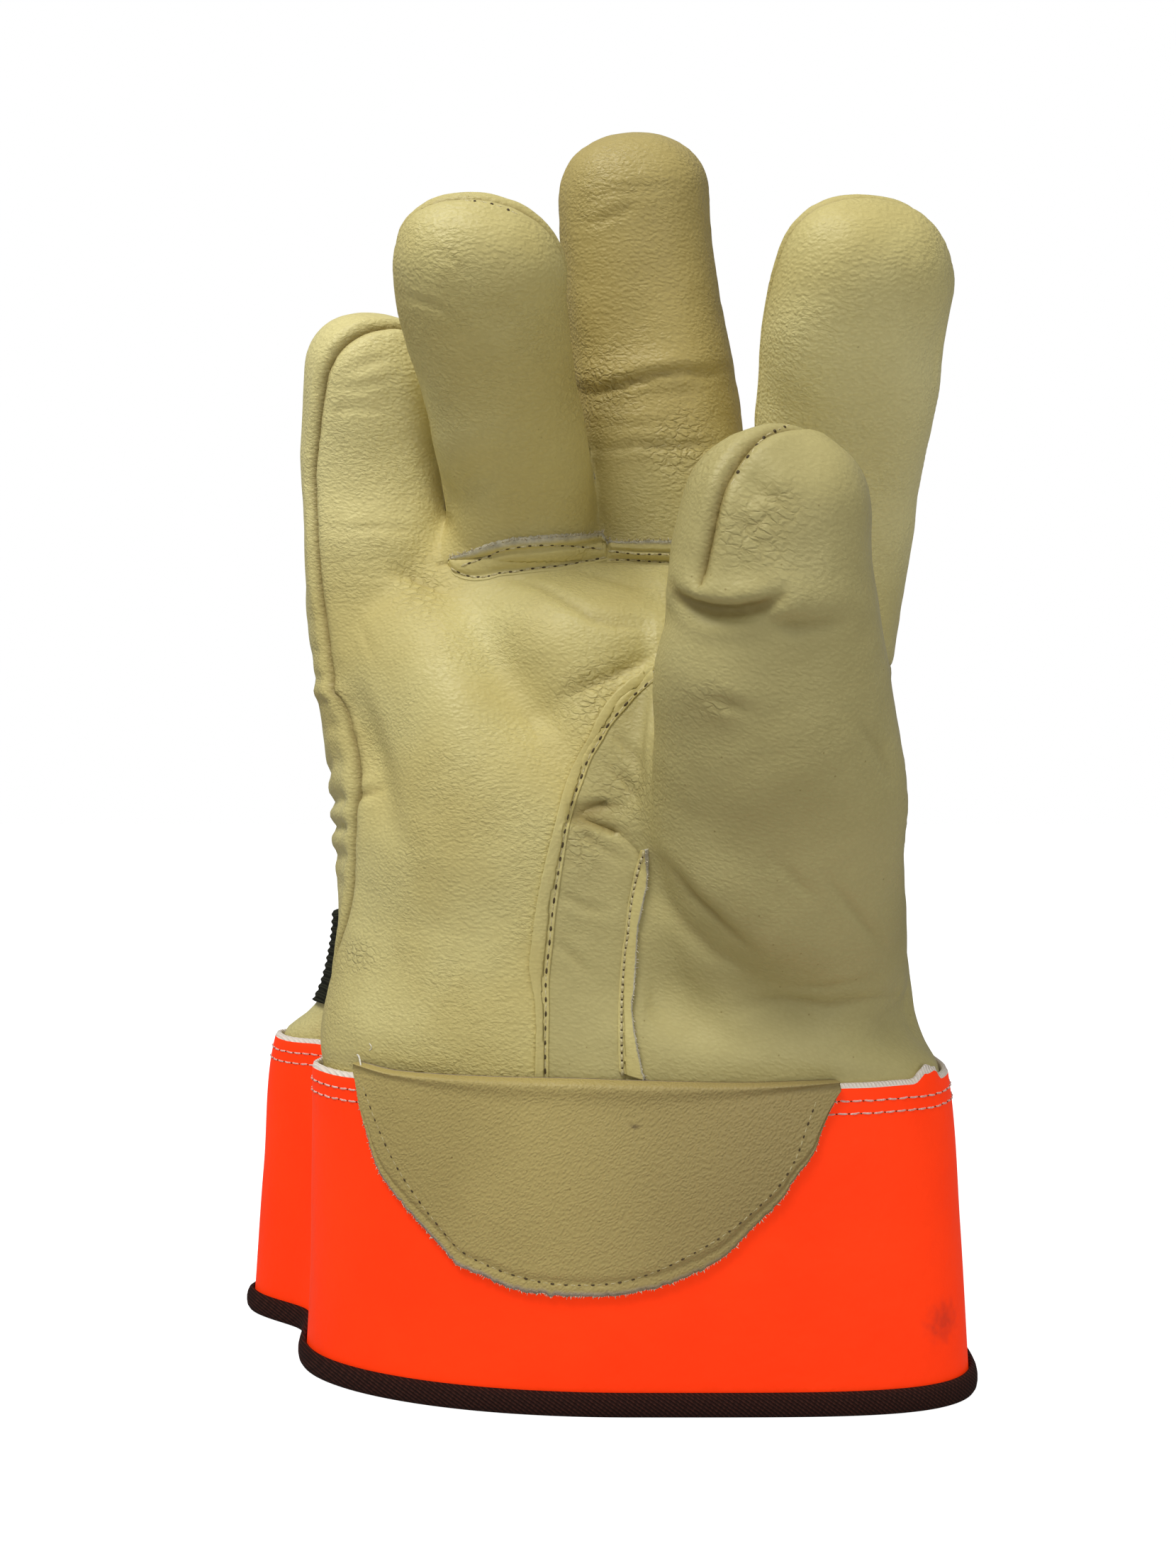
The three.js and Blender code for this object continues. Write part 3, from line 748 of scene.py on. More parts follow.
THUMB_CREASES = [
    (2.4, 1.3, [(953, 824), (964, 841), (984, 853), (1006, 860), (1030, 862), (1048, 860), (1077, 852),
                (1100, 838)]),
    (0.6, 1.1, [(1062, 863), (1093, 877), (1124, 883), (1160, 880), (1190, 872)]),
    (0.5, 1.0, [(1075, 690), (1090, 700), (1108, 702)]),
    (0.35, 0.8, [(1040, 730), (1060, 745), (1068, 765), (1090, 775)]),
    (0.35, 0.8, [(1048, 755), (1062, 742), (1078, 730), (1095, 735)]),
    (0.5, 1.0, [(1009, 974), (1022, 980), (1041, 987), (1060, 1000)]),
    (0.8, 1.3, [(940, 1215), (977, 1266), (1015, 1300), (1065, 1343)]),
    (0.6, 1.1, [(930, 1265), (962, 1312), (1002, 1352), (1050, 1380)]),
    (0.35, 1.0, [(1090, 1206), (1125, 1240), (1150, 1268)]),
    (0.6, 1.0, [(1035, 1434), (1110, 1421), (1180, 1428), (1250, 1412), (1290, 1400)]),
    (0.4, 0.9, [(1095, 1404), (1165, 1398), (1235, 1384)]),
    (0.4, 1.1, [(1195, 1000), (1230, 1050), (1255, 1110)]),
    (0.4, 1.1, [(1160, 1230), (1210, 1290), (1250, 1345)]),
]
GUSSET_CREASES = [
    (0.5, 1.0, [(805, 1160), (840, 1190), (880, 1215)]),
    (0.45, 0.9, [(860, 1030), (890, 1060), (915, 1100)]),
    (0.5, 0.9, [(850, 1075), (880, 1100), (905, 1135)]),
    (0.4, 0.9, [(790, 1260), (825, 1280), (858, 1286)]),
    (0.4, 0.9, [(785, 1330), (810, 1350), (835, 1380)]),
]
MIDDLE_CREASES = [
    (0.8, 1.0, [(803, 538), (815, 552), (836, 556), (870, 545), (898, 536), (930, 528), (960, 524),
                (1000, 528), (1024, 522)]),
    (0.6, 0.8, [(820, 632), (850, 634), (867, 633), (898, 627), (925, 629), (952, 631), (990, 628),
                (1024, 626)]),
    (0.25, 0.8, [(836, 597), (890, 601), (952, 596)]),
    (0.3, 0.8, [(815, 316), (843, 313), (870, 302), (898, 290)]),
    (0.3, 0.8, [(830, 282), (875, 269), (912, 266), (952, 264)]),
    (0.3, 0.7, [(808, 566), (840, 572), (880, 566)]),
]
LITTLE_CREASES = [
    (0.4, 0.8, [(490, 526), (511, 517), (530, 508), (556, 504)]),
    (0.3, 0.7, [(475, 545), (500, 548), (530, 540), (560, 536)]),
    (0.3, 0.7, [(465, 580), (500, 575), (540, 580)]),
    (0.35, 0.8, [(450, 740), (480, 748), (530, 744), (590, 752)]),
]
RING_CREASES = [
    (0.3, 0.7, [(565, 418), (590, 424), (620, 434), (640, 452)]),
    (0.25, 0.7, [(610, 350), (635, 365), (655, 385)]),
]


# Where the leather is crackled by folding: across and down in the picture's pixels, reach in millimetres
CRACKLES = table(
    "across down reach",
    [1065, 748, 7],
    [1100, 715, 4],
    [885, 1112, 8],
    [845, 990, 8],
    [815, 1190, 6],
    [595, 832, 6],
    [505, 1350, 4],
    [1010, 985, 4],
    [850, 545, 9],
    [960, 628, 8],
)


def crackle_share(spots, scale):
    share = np.zeros(len(spots))
    for across, down, reach in zip(*CRACKLES.values()):
        far = np.linalg.norm(spots - [across, down], axis=1) * scale
        share = np.maximum(share, bell(far, reach))
    return share


def swell_height(rows, spots, scale):
    total = np.zeros(len(spots))
    for across, down, angle, long, short, height in zip(*rows.values()):
        turn = math.radians(angle)
        off = (spots - [across, down]) * scale[:, None]
        along = off[:, 0] * math.cos(turn) + off[:, 1] * math.sin(turn)
        beside = off[:, 1] * math.cos(turn) - off[:, 0] * math.sin(turn)
        total += height * np.exp(-((along / long) ** 2) - (beside / short) ** 2)
    return total


def line_distance(spots, line):
    """Distance of flat points from a line of points, and the share of its length where it is nearest."""
    line = np.array(line, float)
    lengths = np.linalg.norm(np.diff(line, axis=0), axis=1)
    least, share = np.full(len(spots), 1e9), np.zeros(len(spots))
    run = 0.0
    for start, end, length in zip(line[:-1], line[1:], lengths):
        part = np.clip(((spots - start) @ (end - start)) / length ** 2, 0, 1)
        off = np.linalg.norm(spots - start - part[:, None] * (end - start), axis=1)
        closer = off < least
        least = np.where(closer, off, least)
        share = np.where(closer, (run + part * length) / lengths.sum(), share)
        run += length
    return least, share


# The low lip on both sides of a crease, in shares of the crease's depth and width
LIP_HEIGHT = 0.3
LIP_OFF = 2.3
LIP_WIDTH = 1.3


def crease_height(creases, spots, scale):
    """Sharp valleys that fade at their ends, with a low rounded lip on both sides."""
    total = np.zeros(len(spots))
    for depth, width, line in creases:
        off, share = line_distance(spots, line)
        off = off * scale
        fade = np.sin(np.pi * np.clip(share, 0.04, 0.96)) ** 0.6
        lip = bell(off - LIP_OFF * width, LIP_WIDTH * width)
        total += depth * fade * (LIP_HEIGHT * lip - bell(off, width))
    return total


def noise_height(points, size, seed):
    place = points / size + seed
    return np.array([noise.noise(spot) for spot in place.tolist()])


def part_shares(near):
    """How much of each place belongs to each part of the form, blended where parts meet."""
    least = np.min(list(near.values()), axis=0)
    shares = {name: np.exp(least - value) for name, value in near.items()}
    total = sum(shares.values())
    return {name: share / total for name, share in shares.items()}


# The thumb's left seam shows near the palm and again higher up, and is out of sight between
PALM_SEAM_TOP = 158
SEAM_HIDES = (THUMB_STANDS_FROM, 128)
SEAM_RETURNS = (161.0, 165.0)
SEAM_SHOWN = 0.3
THUMB_LEFT = table("z x", [THUMB_STANDS_FROM, 36], [191, 34])


def seam_distances(points, near, far=99.0):
    """Distance to each kind of seam, which is far where that seam doesn't run."""
    front = front_field(points, near)
    share = thumb_share_field(points, near)
    outer = thumb_outer_field(points)
    z = points[:, 2]
    in_front = front > -MARGIN
    standing = in_front & (share > -MARGIN) & (z > THUMB_STANDS_FROM)
    seam_shows = smooth_step(z, *SEAM_RETURNS) + (1 - smooth_step(z, *SEAM_HIDES))
    on_left = points[:, 0] < np.interp(z, *THUMB_LEFT.values())
    return {
        "side": np.abs(front),
        "thumb": np.where(standing & (~on_left | (seam_shows > SEAM_SHOWN)), np.abs(outer), far),
        "palm": np.where(in_front & (z < PALM_SEAM_TOP), np.abs(share), far),
        "gusset": np.where(in_front & (share > 0) & (z < THUMB_STANDS_FROM), np.abs(outer), far),
        "base": np.where(on_finger_fronts(points, near, FRONTS_FROM), np.abs(z - FINGER_SEAM), far),
    }


# How deep the leather is pulled in along each kind of seam, and how far from it
GROOVES = {
    "side": (1.35, 0.8),
    "thumb": (1.35, 0.8),
    "palm": (0.5, 0.8),
    "gusset": (0.5, 0.7),
    "base": (0.6, 0.9),
}

# The leather rolls up beside its outer seams, and is puckered there
ROLL_HEIGHT = 0.35
ROLL_OFF = 2.4
ROLL_WIDTH = 1.5
SEAM_PUCKERS = {"height": 0.16, "reach": 2.4, "size": 2.6, "seed": 41.9}

# Broad unevenness of the leather everywhere
UNEVENNESS = table("height size seed", [0.45, 15.0, 11.3], [0.16, 5.5, 27.1])


def half_wave(turns):
    """Waves between nothing and one."""
    return 0.5 + 0.5 * np.cos(2 * np.pi * turns)


def gather_height(points, near):
    """The elastic draws the back of the wrist into level folds, and the side seam into puckers."""
    x, z = points[:, 0], points[:, 2]
    rise = np.sin(np.pi * np.clip((z - GATHER_LOW) / (GATHER_HIGH - GATHER_LOW), 0, 1))
    stray = noise_height(points * STRAY_STRETCH, STRAY_SIZE, STRAY_SEED)
    wave = half_wave((z - GATHER_LOW) / GATHER_PITCH + GATHER_STRAY * stray)
    front = front_field(points, near)
    behind = smooth_step(-front, *BEHIND_SEAM)
    folds = -GATHER_DEPTH * rise * wave ** GATHER_SHARPNESS * behind
    beside_seam = np.exp(-np.abs(front) / PUCKER_REACH) * (x < 0) * behind
    long_rise = smooth_step(z, *PUCKERS_BEGIN) * (1 - smooth_step(z, *PUCKERS_END))
    pucker_wave = half_wave(z / PUCKER_PITCH + PUCKER_STRAY * stray)
    return folds - PUCKER_DEPTH * long_rise * beside_seam * pucker_wave ** PUCKER_SHARPNESS


# Folds are drawn where the leather faces the camera, and the gusset's left of a line in the picture
FACES_CAMERA = (0.05, 0.35)
GUSSET_EDGE = (905, 925)
SWELLS_OFF_SEAM = (0, 1.5)


def relief_height(points, normals, near):
    """How far the leather stands out from the plain form, with the share of it that is seam or crease, which
    darkens its colour as painted shade.
    """
    spots, scale = picture_point(points)
    view = unit(points - CAMERA)
    facing = smooth_step(-(normals * view).sum(1), *FACES_CAMERA)
    shares = part_shares(near)
    broad, sharp = np.zeros(len(points)), np.zeros(len(points))
    palm = shares["body"] + shares["little"] + shares["index"]
    gusset = 1 - smooth_step(spots[:, 0], *GUSSET_EDGE)
    for share, swells, creases in (
        (palm, PALM_SWELLS, PALM_CREASES),
        (palm * gusset, None, GUSSET_CREASES),
        (shares["thumb"] + shares["body"] * (1 - gusset), THUMB_SWELLS, THUMB_CREASES),
        (shares["ring"], RING_SWELLS, RING_CREASES),
        (shares["middle"], MIDDLE_SWELLS, MIDDLE_CREASES),
        (shares["index"], INDEX_SWELLS, []),
        (shares["little"], LITTLE_SWELLS, LITTLE_CREASES),
    ):
        if swells:
            broad += share * facing * swell_height(swells, spots, scale)
        sharp += share * facing * crease_height(creases, spots, scale)
    seams = seam_distances(points, near)
    broad *= smooth_step(seams["side"], *SWELLS_OFF_SEAM)
    groove = sum(depth * np.exp(-seams[kind] / reach) for kind, (depth, reach) in GROOVES.items())
    off_seam = np.minimum(seams["side"], seams["thumb"])
    roll = ROLL_HEIGHT * bell(off_seam - ROLL_OFF, ROLL_WIDTH)
    uneven = sum(
        height * noise_height(points, size, seed) for height, size, seed in zip(*UNEVENNESS.values())
    )
    pull = SEAM_PUCKERS["height"] * np.exp(-off_seam / SEAM_PUCKERS["reach"])
    puckers = pull * noise_height(points, SEAM_PUCKERS["size"], SEAM_PUCKERS["seed"])
    return broad + sharp - groove + roll + uneven + puckers + gather_height(points, near), sharp - groove


# How much each finger's leather is darkened to ochre, partly its own tone and partly painted shade, and how
# much painted light makes it paler, with the heights between which that grows or ends
MIDDLE_TONE_AND_SHADE = 0.35
MIDDLE_TIP = (185, 215)
RING_TONE_AND_SHADE = 0.2
INDEX_TIP = (205, 232)
LITTLE_PAINTED_LIGHT = 0.5
PAINTED_LIGHT_FROM = (158, 190)


def tone_and_painted_light_share(points, near):
    """Above 0 where the leather is darker, partly its own ochre tone and partly painted shade, below 0 where
    painted light makes it paler.
    """
    shares = part_shares(near)
    z = points[:, 2]
    middle = MIDDLE_TONE_AND_SHADE + (1 - MIDDLE_TONE_AND_SHADE) * smooth_step(z, *MIDDLE_TIP)
    tone_and_shade = shares["middle"] * middle + RING_TONE_AND_SHADE * shares["ring"]
    # Painted light: the index and little fingers are made paler than their leather.
    kept = shares["index"] * (1 - smooth_step(z, *INDEX_TIP)) + LITTLE_PAINTED_LIGHT * shares["little"]
    return tone_and_shade - kept * smooth_step(z, *PAINTED_LIGHT_FROM)


def sew_leather():
    """The whole outer surface of the leather, cut into panels and shaped, with what its materials read."""
    points, triangles = cut_panels(*form_surface())
    names = panel_names(points[triangles].mean(1))
    near = nearness(points)
    height, crease_shade_depth = relief_height(points, smooth_normals(points, triangles), near)
    # Ochre tone and painted shade on the middle and ring fingers, painted light on the index and little
    # fingers.
    tone_and_painted_light = tone_and_painted_light_share(points, near)
    crackled = crackle_share(*picture_point(points)) * (front_field(points, near) > 0)
    points = points + slope(FORM, points) * height[:, None]
    return {
        "points": points,
        "triangles": triangles,
        "panels": names,
        "normals": smooth_normals(points, triangles),
        "crease_shade_depth": crease_shade_depth,
        "tone_and_painted_light": tone_and_painted_light,
        "crackled": crackled,
    }


leather = sew_leather()


# Making pieces

def new_mesh(name, points, faces):
    mesh = bpy.data.meshes.new(name)
    mesh.from_pydata(((points + SHIFT) / METRE).tolist(), [], faces)
    mesh.validate()
    mesh.shade_smooth()
    return mesh


def add_number(mesh, name, values):
    mesh.attributes.new(name, "FLOAT", "POINT").data.foreach_set("value", np.asarray(values, np.float32))


def set_materials(mesh, indices):
    mesh.polygons.foreach_set("material_index", np.asarray(indices, np.int32))


def add_piece(name, mesh, materials, slot, *nodes):
    piece = new_object(name, mesh)
    for material in materials:
        mesh.materials.append(material)
    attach(piece, "root")
    if nodes:
        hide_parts(*nodes)


def rim_edges(triangles):
    """Edges with a face on one side only, in the direction that their face runs."""
    edges = np.concatenate([triangles[:, [0, 1]], triangles[:, [1, 2]], triangles[:, [2, 0]]])
    size = triangles.max() + 1
    forward, backward = edges[:, 0] * size + edges[:, 1], edges[:, 1] * size + edges[:, 0]
    return edges[~np.isin(forward, backward)]


def leather_panel(panel, materials):
    """One panel of the leather as a closed wall: grain side out, flesh side in, cut edges between."""
    chosen = leather["triangles"][leather["panels"] == panel]
    used, corners = np.unique(chosen, return_inverse=True)
    outer = corners.reshape(chosen.shape)
    count = len(used)
    points = leather["points"][used]
    inner_points = points - leather["normals"][used] * LEATHER
    rim = rim_edges(outer)
    sides = np.stack([rim[:, 1], rim[:, 0], rim[:, 0] + count, rim[:, 1] + count], -1)
    inner = outer[:, ::-1] + count
    faces = outer.tolist() + inner.tolist() + sides.tolist()
    mesh = new_mesh(panel, np.concatenate([points, inner_points]), faces)
    set_materials(mesh, np.arange(len(faces)) >= len(outer))
    for value in ("crease_shade_depth", "tone_and_painted_light", "crackled"):
        add_number(mesh, value, np.tile(leather[value][used], 2))
    rim_points = np.isin(np.arange(count * 2) % count, rim)
    ends = np.empty(len(mesh.edges) * 2, np.int32)
    mesh.edges.foreach_get("vertices", ends)
    ends = ends.reshape(-1, 2)
    on_one_side = (ends < count).all(1) | (ends >= count).all(1)
    sharp = mesh.attributes.new("sharp_edge", "BOOLEAN", "EDGE")
    sharp.data.foreach_set("value", rim_points[ends].all(1) & on_one_side)
    add_piece(panel, mesh, materials, "leather", panel)


# Finding places on the leather and the cuff

SEAMS_TO = 132
OFF_PALM = 4


def face_tree(points, faces):
    return BVHTree.FromPolygons(points.tolist(), faces.tolist())


on_thumb_panel = np.isin(leather["panels"], ["thumb_outer", "thumb_inner"])
hand_tree = face_tree(leather["points"], leather["triangles"][~on_thumb_panel])
glove_tree = face_tree(leather["points"], leather["triangles"])
face_places = leather["points"][leather["triangles"]].mean(1)
off_palm = sample(FIELDS["body"], face_places) > OFF_PALM
standing_thumb = on_thumb_panel & off_palm & (face_places[:, 2] > SEAMS_TO)
seam_tree = face_tree(leather["points"], leather["triangles"][~standing_thumb])


def band_faces(count, turns):
    """Faces of a wall round the body, from a closed profile of count points at each turn."""
    here = np.arange(turns)[:, None] * count
    there = np.roll(here, -1, 0)
    spot = np.arange(count)[None, :]
    after = (spot + 1) % count
    return np.stack([here + spot, there + spot, there + after, here + after], -1).reshape(-1, 4).tolist()


def band_points(profile, turns):
    """Points of a wall round the body. The profile lists height and distance outwards."""
    heights, out = np.array(profile, float).T
    return level_rings(heights, turns, -out[:, None]).transpose(1, 0, 2).reshape(-1, 3)


# How the cuff's vinyl waves, how its top edge is cut, and where a bit of it is torn
CUFF_CENTRE = np.array([0.0, 22.0])
WAVE_HEIGHT = 0.45
WAVE_FROM = (4, 30)
CUT_HEIGHT = 0.35
CUT_FROM = 52
TORN_SPOT = 1312
TORN_TURNS = (0.3, 0.5)
TORN_HEIGHT = 2.6
TORN_REACH = 3.2
TORN_DOWN = 3.4
TORN_ROUGHNESS = 0.35


def torn_place():
    """Where the picture shows the torn bit that stands up from the cuff's edge."""
    rim = level_rings([CUFF_TOP], np.linspace(*TORN_TURNS, 200))[0]
    spots, _ = picture_point(rim)
    return rim[np.abs(spots[:, 0] - TORN_SPOT).argmin()]


TORN_PLACE = torn_place()


def cuff_waver(points):
    """The vinyl is slightly wavy, and its top edge was cut by hand."""
    points = points.copy()
    wave = noise_height(points * [1, 1, 0.5], size=24.0, seed=5.2)
    out = unit(points[:, :2] - CUFF_CENTRE)
    points[:, :2] += out * (WAVE_HEIGHT * wave * smooth_step(points[:, 2], *WAVE_FROM))[:, None]
    below_top = points[:, 2] < CUFF_TOP + 1
    high = smooth_step(points[:, 2], CUT_FROM, CUFF_TOP) * below_top
    edge = smooth_step(points[:, 2], CUFF_TOP - TORN_DOWN, CUFF_TOP) * below_top
    far = np.linalg.norm(points[:, :2] - TORN_PLACE[:2], axis=1)
    rough = 1 + TORN_ROUGHNESS * noise_height(points, size=1.3, seed=8.8)
    torn = TORN_HEIGHT * np.exp(-((far / TORN_REACH) ** 4)) * rough
    cut = noise_height(points * [1, 1, 0], size=9.0, seed=2.4)
    points[:, 2] += high * CUT_HEIGHT * cut + edge * torn
    return points


def cuff_form(spacing=1.5, sides=240, above=9):
    """The cuff's outside, carried on above its edge for what lies over it."""
    heights = np.append(np.arange(0, CUFF_TOP, spacing), CUFF_TOP)
    rings = level_rings(heights, bunched_turns(sides))
    upper = rings[-1] + [0, 0, above]
    points, quads, _ = closed_stack(np.concatenate([rings, upper[None]]))
    return face_tree(cuff_waver(points), quads)


cuff_tree = cuff_form()


def seen_place(tree, spot):
    """Where the sight line through a spot of the picture meets a surface, and the way outwards there."""
    across = (spot[0] - PICTURE_WIDTH / 2) / FOCAL_PIXELS
    up = (PICTURE_HEIGHT / 2 - spot[1]) / FOCAL_PIXELS
    ray = Vector((across, 1, up))
    place, normal, _, _ = tree.ray_cast(Vector(CAMERA), ray.normalized())
    if place is None:
        raise ValueError(f"nothing lies behind {spot}")
    if normal.dot(ray) > 0:
        normal = -normal
    return np.array(place), np.array(normal)


def curve_through(line, count):
    """Evenly spaced points on a smooth curve through a line of points."""
    line = np.array(line, float)
    run = run_along(line)
    rows = {"run": run, **{str(i): column for i, column in enumerate(line.T)}}
    found = row_at(rows, "run", np.linspace(0, run[-1], count))
    return np.stack([found[str(i)] for i in range(line.shape[1])], -1)


def laid_line(tree, line, count):
    """A line of the picture laid on a surface: its places, and the directions outwards."""
    places, normals = zip(*(seen_place(tree, spot) for spot in curve_through(line, count)))
    return smooth_along(np.array(places), 2), smooth_along(np.array(normals), 5)


def smooth_along(values, rounds):
    """A line of points or directions with its small steps evened out."""
    values = values.copy()
    for _ in range(rounds):
        values[1:-1] = (values[:-2] + 2 * values[1:-1] + values[2:]) / 4
    return values


# Sheets laid on the surface between two lines of the picture

SUNK = 0.35


def laid_sheet(tree, near_line, far_line, length_count, width_count, height_at,
               ragged=0.0, seed=0.0, rawness=12, cut_edge=1.0, flare=0.0):
    """Rings of a closed sheet from its near line to its cut far edge, and how raw it is at each point.

    Flare is how far the flesh side reaches past the grain side there, as a share of the width.
    """
    near_edge = curve_through(near_line, length_count)
    far_edge = curve_through(far_line, length_count)
    shares = np.linspace(0, 1, width_count)
    rings = []
    for i, along in enumerate(np.linspace(0, 1, length_count)):
        jag = ragged * (noise.noise((i * 0.31, seed, 0.0)) + 0.7 * noise.noise((i * 1.1, seed, 4.0)))
        over, under = [], []
        for share in shares:
            spot = near_edge[i] + (far_edge[i] - near_edge[i]) * share * (1 + jag * share ** 6)
            place, normal = seen_place(tree, spot)
            over.append(place + normal * height_at(along, share))
            under.append(place - normal * SUNK)
        under[-1], _ = seen_place(tree, near_edge[i] + (far_edge[i] - near_edge[i]) * (1 + jag + flare))
        rings.append(over + under[::-1])
    raw = cut_edge * np.tile(np.append(shares ** rawness, np.ones(width_count)), length_count)
    return np.array(rings), raw


def sewn_sheet(name, rings, raw, material, slot):
    """A sheet of leather as a piece, and its surface for what is sewn on it."""
    points, quads, triangles = closed_stack(rings)
    mesh = new_mesh(name, points, outward_faces(points, quads, triangles))
    add_number(mesh, "raw", np.append(raw, [1, 1]))
    add_piece(name, mesh, [material], slot, name)
    return face_tree(points, quads)


def far_edge_of(rings):
    """The raw edge of a sheet, with the way its fibres lean."""
    last = rings.shape[1] // 2 - 1
    out = unit(smooth_along(rings[:, last] - rings[:, last - 2], 4))
    up = unit(smooth_along(rings[:, last] - rings[:, last + 1], 4))
    return rings[2:-2, last], (out + 0.5 * up)[2:-2]


def outward_faces(points, quads, triangles):
    """Quads and triangles of a closed form as one list, turned so that they face outwards."""
    split = np.concatenate([quads[:, [0, 1, 2]], quads[:, [0, 2, 3]]])
    centred = points - points.mean(0)
    if faces_inwards(centred, split):
        quads = quads[:, ::-1]
    faces = quads.tolist()
    for end in np.split(triangles, 2):
        faces += (end[:, ::-1] if faces_inwards(centred, end) else end).tolist()
    return faces


# Stitches and loose fibres follow lines on the glove

def socket_key(tree, name):
    items = tree.interface.items_tree
    return next(item.identifier for item in items if item.name == name and item.in_out == "INPUT")


def feed(tree, node, inputs):
    """Sets a node's inputs to values, or links them to other nodes' outputs."""
    for key, value in inputs.items():
        socket = node.inputs[key]
        if isinstance(value, bpy.types.NodeSocket):
            tree.links.new(value, socket)
        else:
            socket.default_value = value


def node_in(tree, kind, inputs=None, **settings):
    """A new node of a tree, with its settings and inputs."""
    node = tree.nodes.new(kind)
    for name, value in settings.items():
        setattr(node, name, value)
    feed(tree, node, inputs or {})
    return node


def made_by(tree, kind, inputs=None, **settings):
    """The first output of a new node."""
    return node_in(tree, kind, inputs, **settings).outputs[0]


def new_tree(name, kind, inputs, outputs):
    """A node tree with named inputs, each a socket type and a plain value, and named outputs."""
    tree = bpy.data.node_groups.new(name, kind)
    for socket_name, (socket_type, value) in inputs.items():
        socket = tree.interface.new_socket(socket_name, in_out="INPUT", socket_type=socket_type)
        if value is not None:
            socket.default_value = value
    for socket_name, socket_type in outputs.items():
        tree.interface.new_socket(socket_name, in_out="OUTPUT", socket_type=socket_type)
    return tree, tree.nodes.new("NodeGroupInput").outputs, tree.nodes.new("NodeGroupOutput")


def calculate(tree, operation, *values):
    return made_by(tree, "ShaderNodeMath", dict(enumerate(values)), operation=operation)


def times(tree, *values):
    return calculate(tree, "MULTIPLY", *values)


def plus(tree, *values):
    return calculate(tree, "ADD", *values)


def minus(tree, *values):
    return calculate(tree, "SUBTRACT", *values)


def direction(tree, operation, *values, **named):
    inputs = {**dict(enumerate(values)), **named}
    return made_by(tree, "ShaderNodeVectorMath", inputs, operation=operation)


def arrow(tree, **parts):
    """A vector from its X, Y and Z."""
    return made_by(tree, "ShaderNodeCombineXYZ", parts)


def random_in(tree, low, high, seed):
    """A random number between two numbers, or a random vector between two vectors."""
    of_vectors = isinstance(low, tuple)
    node = node_in(tree, "FunctionNodeRandomValue", {"Min": low, "Max": high, "Seed": seed},
                   data_type="FLOAT_VECTOR" if of_vectors else "FLOAT")
    return node.outputs[0 if of_vectors else 1]


def upright_turn(tree, lie):
    """The turn that stands a thing on a direction."""
    return made_by(tree, "FunctionNodeAlignRotationToVector", {"Vector": lie}, axis="Z")


def level_turn(tree, lie):
    """The turn that stands a thing on a direction, and lays its length along the line."""
    inputs = {"Rotation": upright_turn(tree, lie), "Vector": made_by(tree, "GeometryNodeInputTangent")}
    return made_by(tree, "FunctionNodeAlignRotationToVector", inputs, axis="X", pivot_axis="Z")


def row_tree(name, sizes, thing):
    """A tree that sets one thing after another along a line. Sizes are its named inputs, in metres."""
    inputs = {
        "Line": ("NodeSocketGeometry", None),
        **{size: ("NodeSocketFloat", value) for size, value in sizes.items()},
        "Seed": ("NodeSocketInt", 0),
        "Material": ("NodeSocketMaterial", None),
    }
    tree, given, result = new_tree(name, "GeometryNodeTree", inputs, {"Geometry": "NodeSocketGeometry"})
    named = node_in(tree, "GeometryNodeInputNamedAttribute", {"Name": "lie"}, data_type="FLOAT_VECTOR")
    curve = made_by(tree, "GeometryNodeMeshToCurve", {"Mesh": given["Line"]})
    spacing = {"Curve": curve, "Length": given["Pitch"]}
    row = made_by(tree, "GeometryNodeResampleCurve", spacing, mode="LENGTH")
    placing = {"Points": row, **thing(tree, given, named.outputs["Attribute"])}
    placed = made_by(tree, "GeometryNodeInstanceOnPoints", placing)
    real = made_by(tree, "GeometryNodeRealizeInstances", {"Geometry": placed})
    smooth = made_by(tree, "GeometryNodeSetShadeSmooth", {"Geometry": real})
    coloured = made_by(tree, "GeometryNodeSetMaterial", {"Geometry": smooth, "Material": given["Material"]})
    feed(tree, result, {"Geometry": coloured})
    return tree


def stitch(tree, given, lie, stray=0.12):
    """An arched stitch of thread, standing on the line's directions, a little off its run."""
    turn = arrow(tree, Z=random_in(tree, -stray, stray, given["Seed"]))
    turns = {"Rotation": level_turn(tree, lie), "Rotate By": turn}
    turned = made_by(tree, "FunctionNodeRotateRotation", turns, rotation_space="LOCAL")
    half = times(tree, given["Length"], 0.5)
    low = times(tree, given["Dip"], -1.0)
    points = {
        "Start": arrow(tree, X=times(tree, half, -1.0), Z=low),
        "Middle": arrow(tree, Z=given["Rise"]),
        "End": arrow(tree, X=half, Z=low),
    }
    arch = made_by(tree, "GeometryNodeCurveQuadraticBezier", {"Resolution": 5, **points})
    radius = times(tree, given["Thickness"], 0.5)
    circle = made_by(tree, "GeometryNodeCurvePrimitiveCircle", {"Resolution": 6, "Radius": radius})
    swept = {"Curve": arch, "Profile Curve": circle, "Fill Caps": True}
    return {"Instance": made_by(tree, "GeometryNodeCurveToMesh", swept), "Rotation": turned}


def needle_pit(tree, given, lie):
    """A small dark pit of painted shade where the needle went through, drawn out along the line."""
    pit = made_by(tree, "GeometryNodeMeshIcoSphere", {"Radius": 0.5, "Subdivisions": 2})
    full = arrow(tree, X=given["Length"], Y=given["Width"], Z=given["Width"])
    share = random_in(tree, (0.75, 0.8, 0.6), (1.2, 1.15, 0.9), given["Seed"])
    size = direction(tree, "MULTIPLY", full, share)
    return {"Instance": pit, "Rotation": level_turn(tree, lie), "Scale": size}


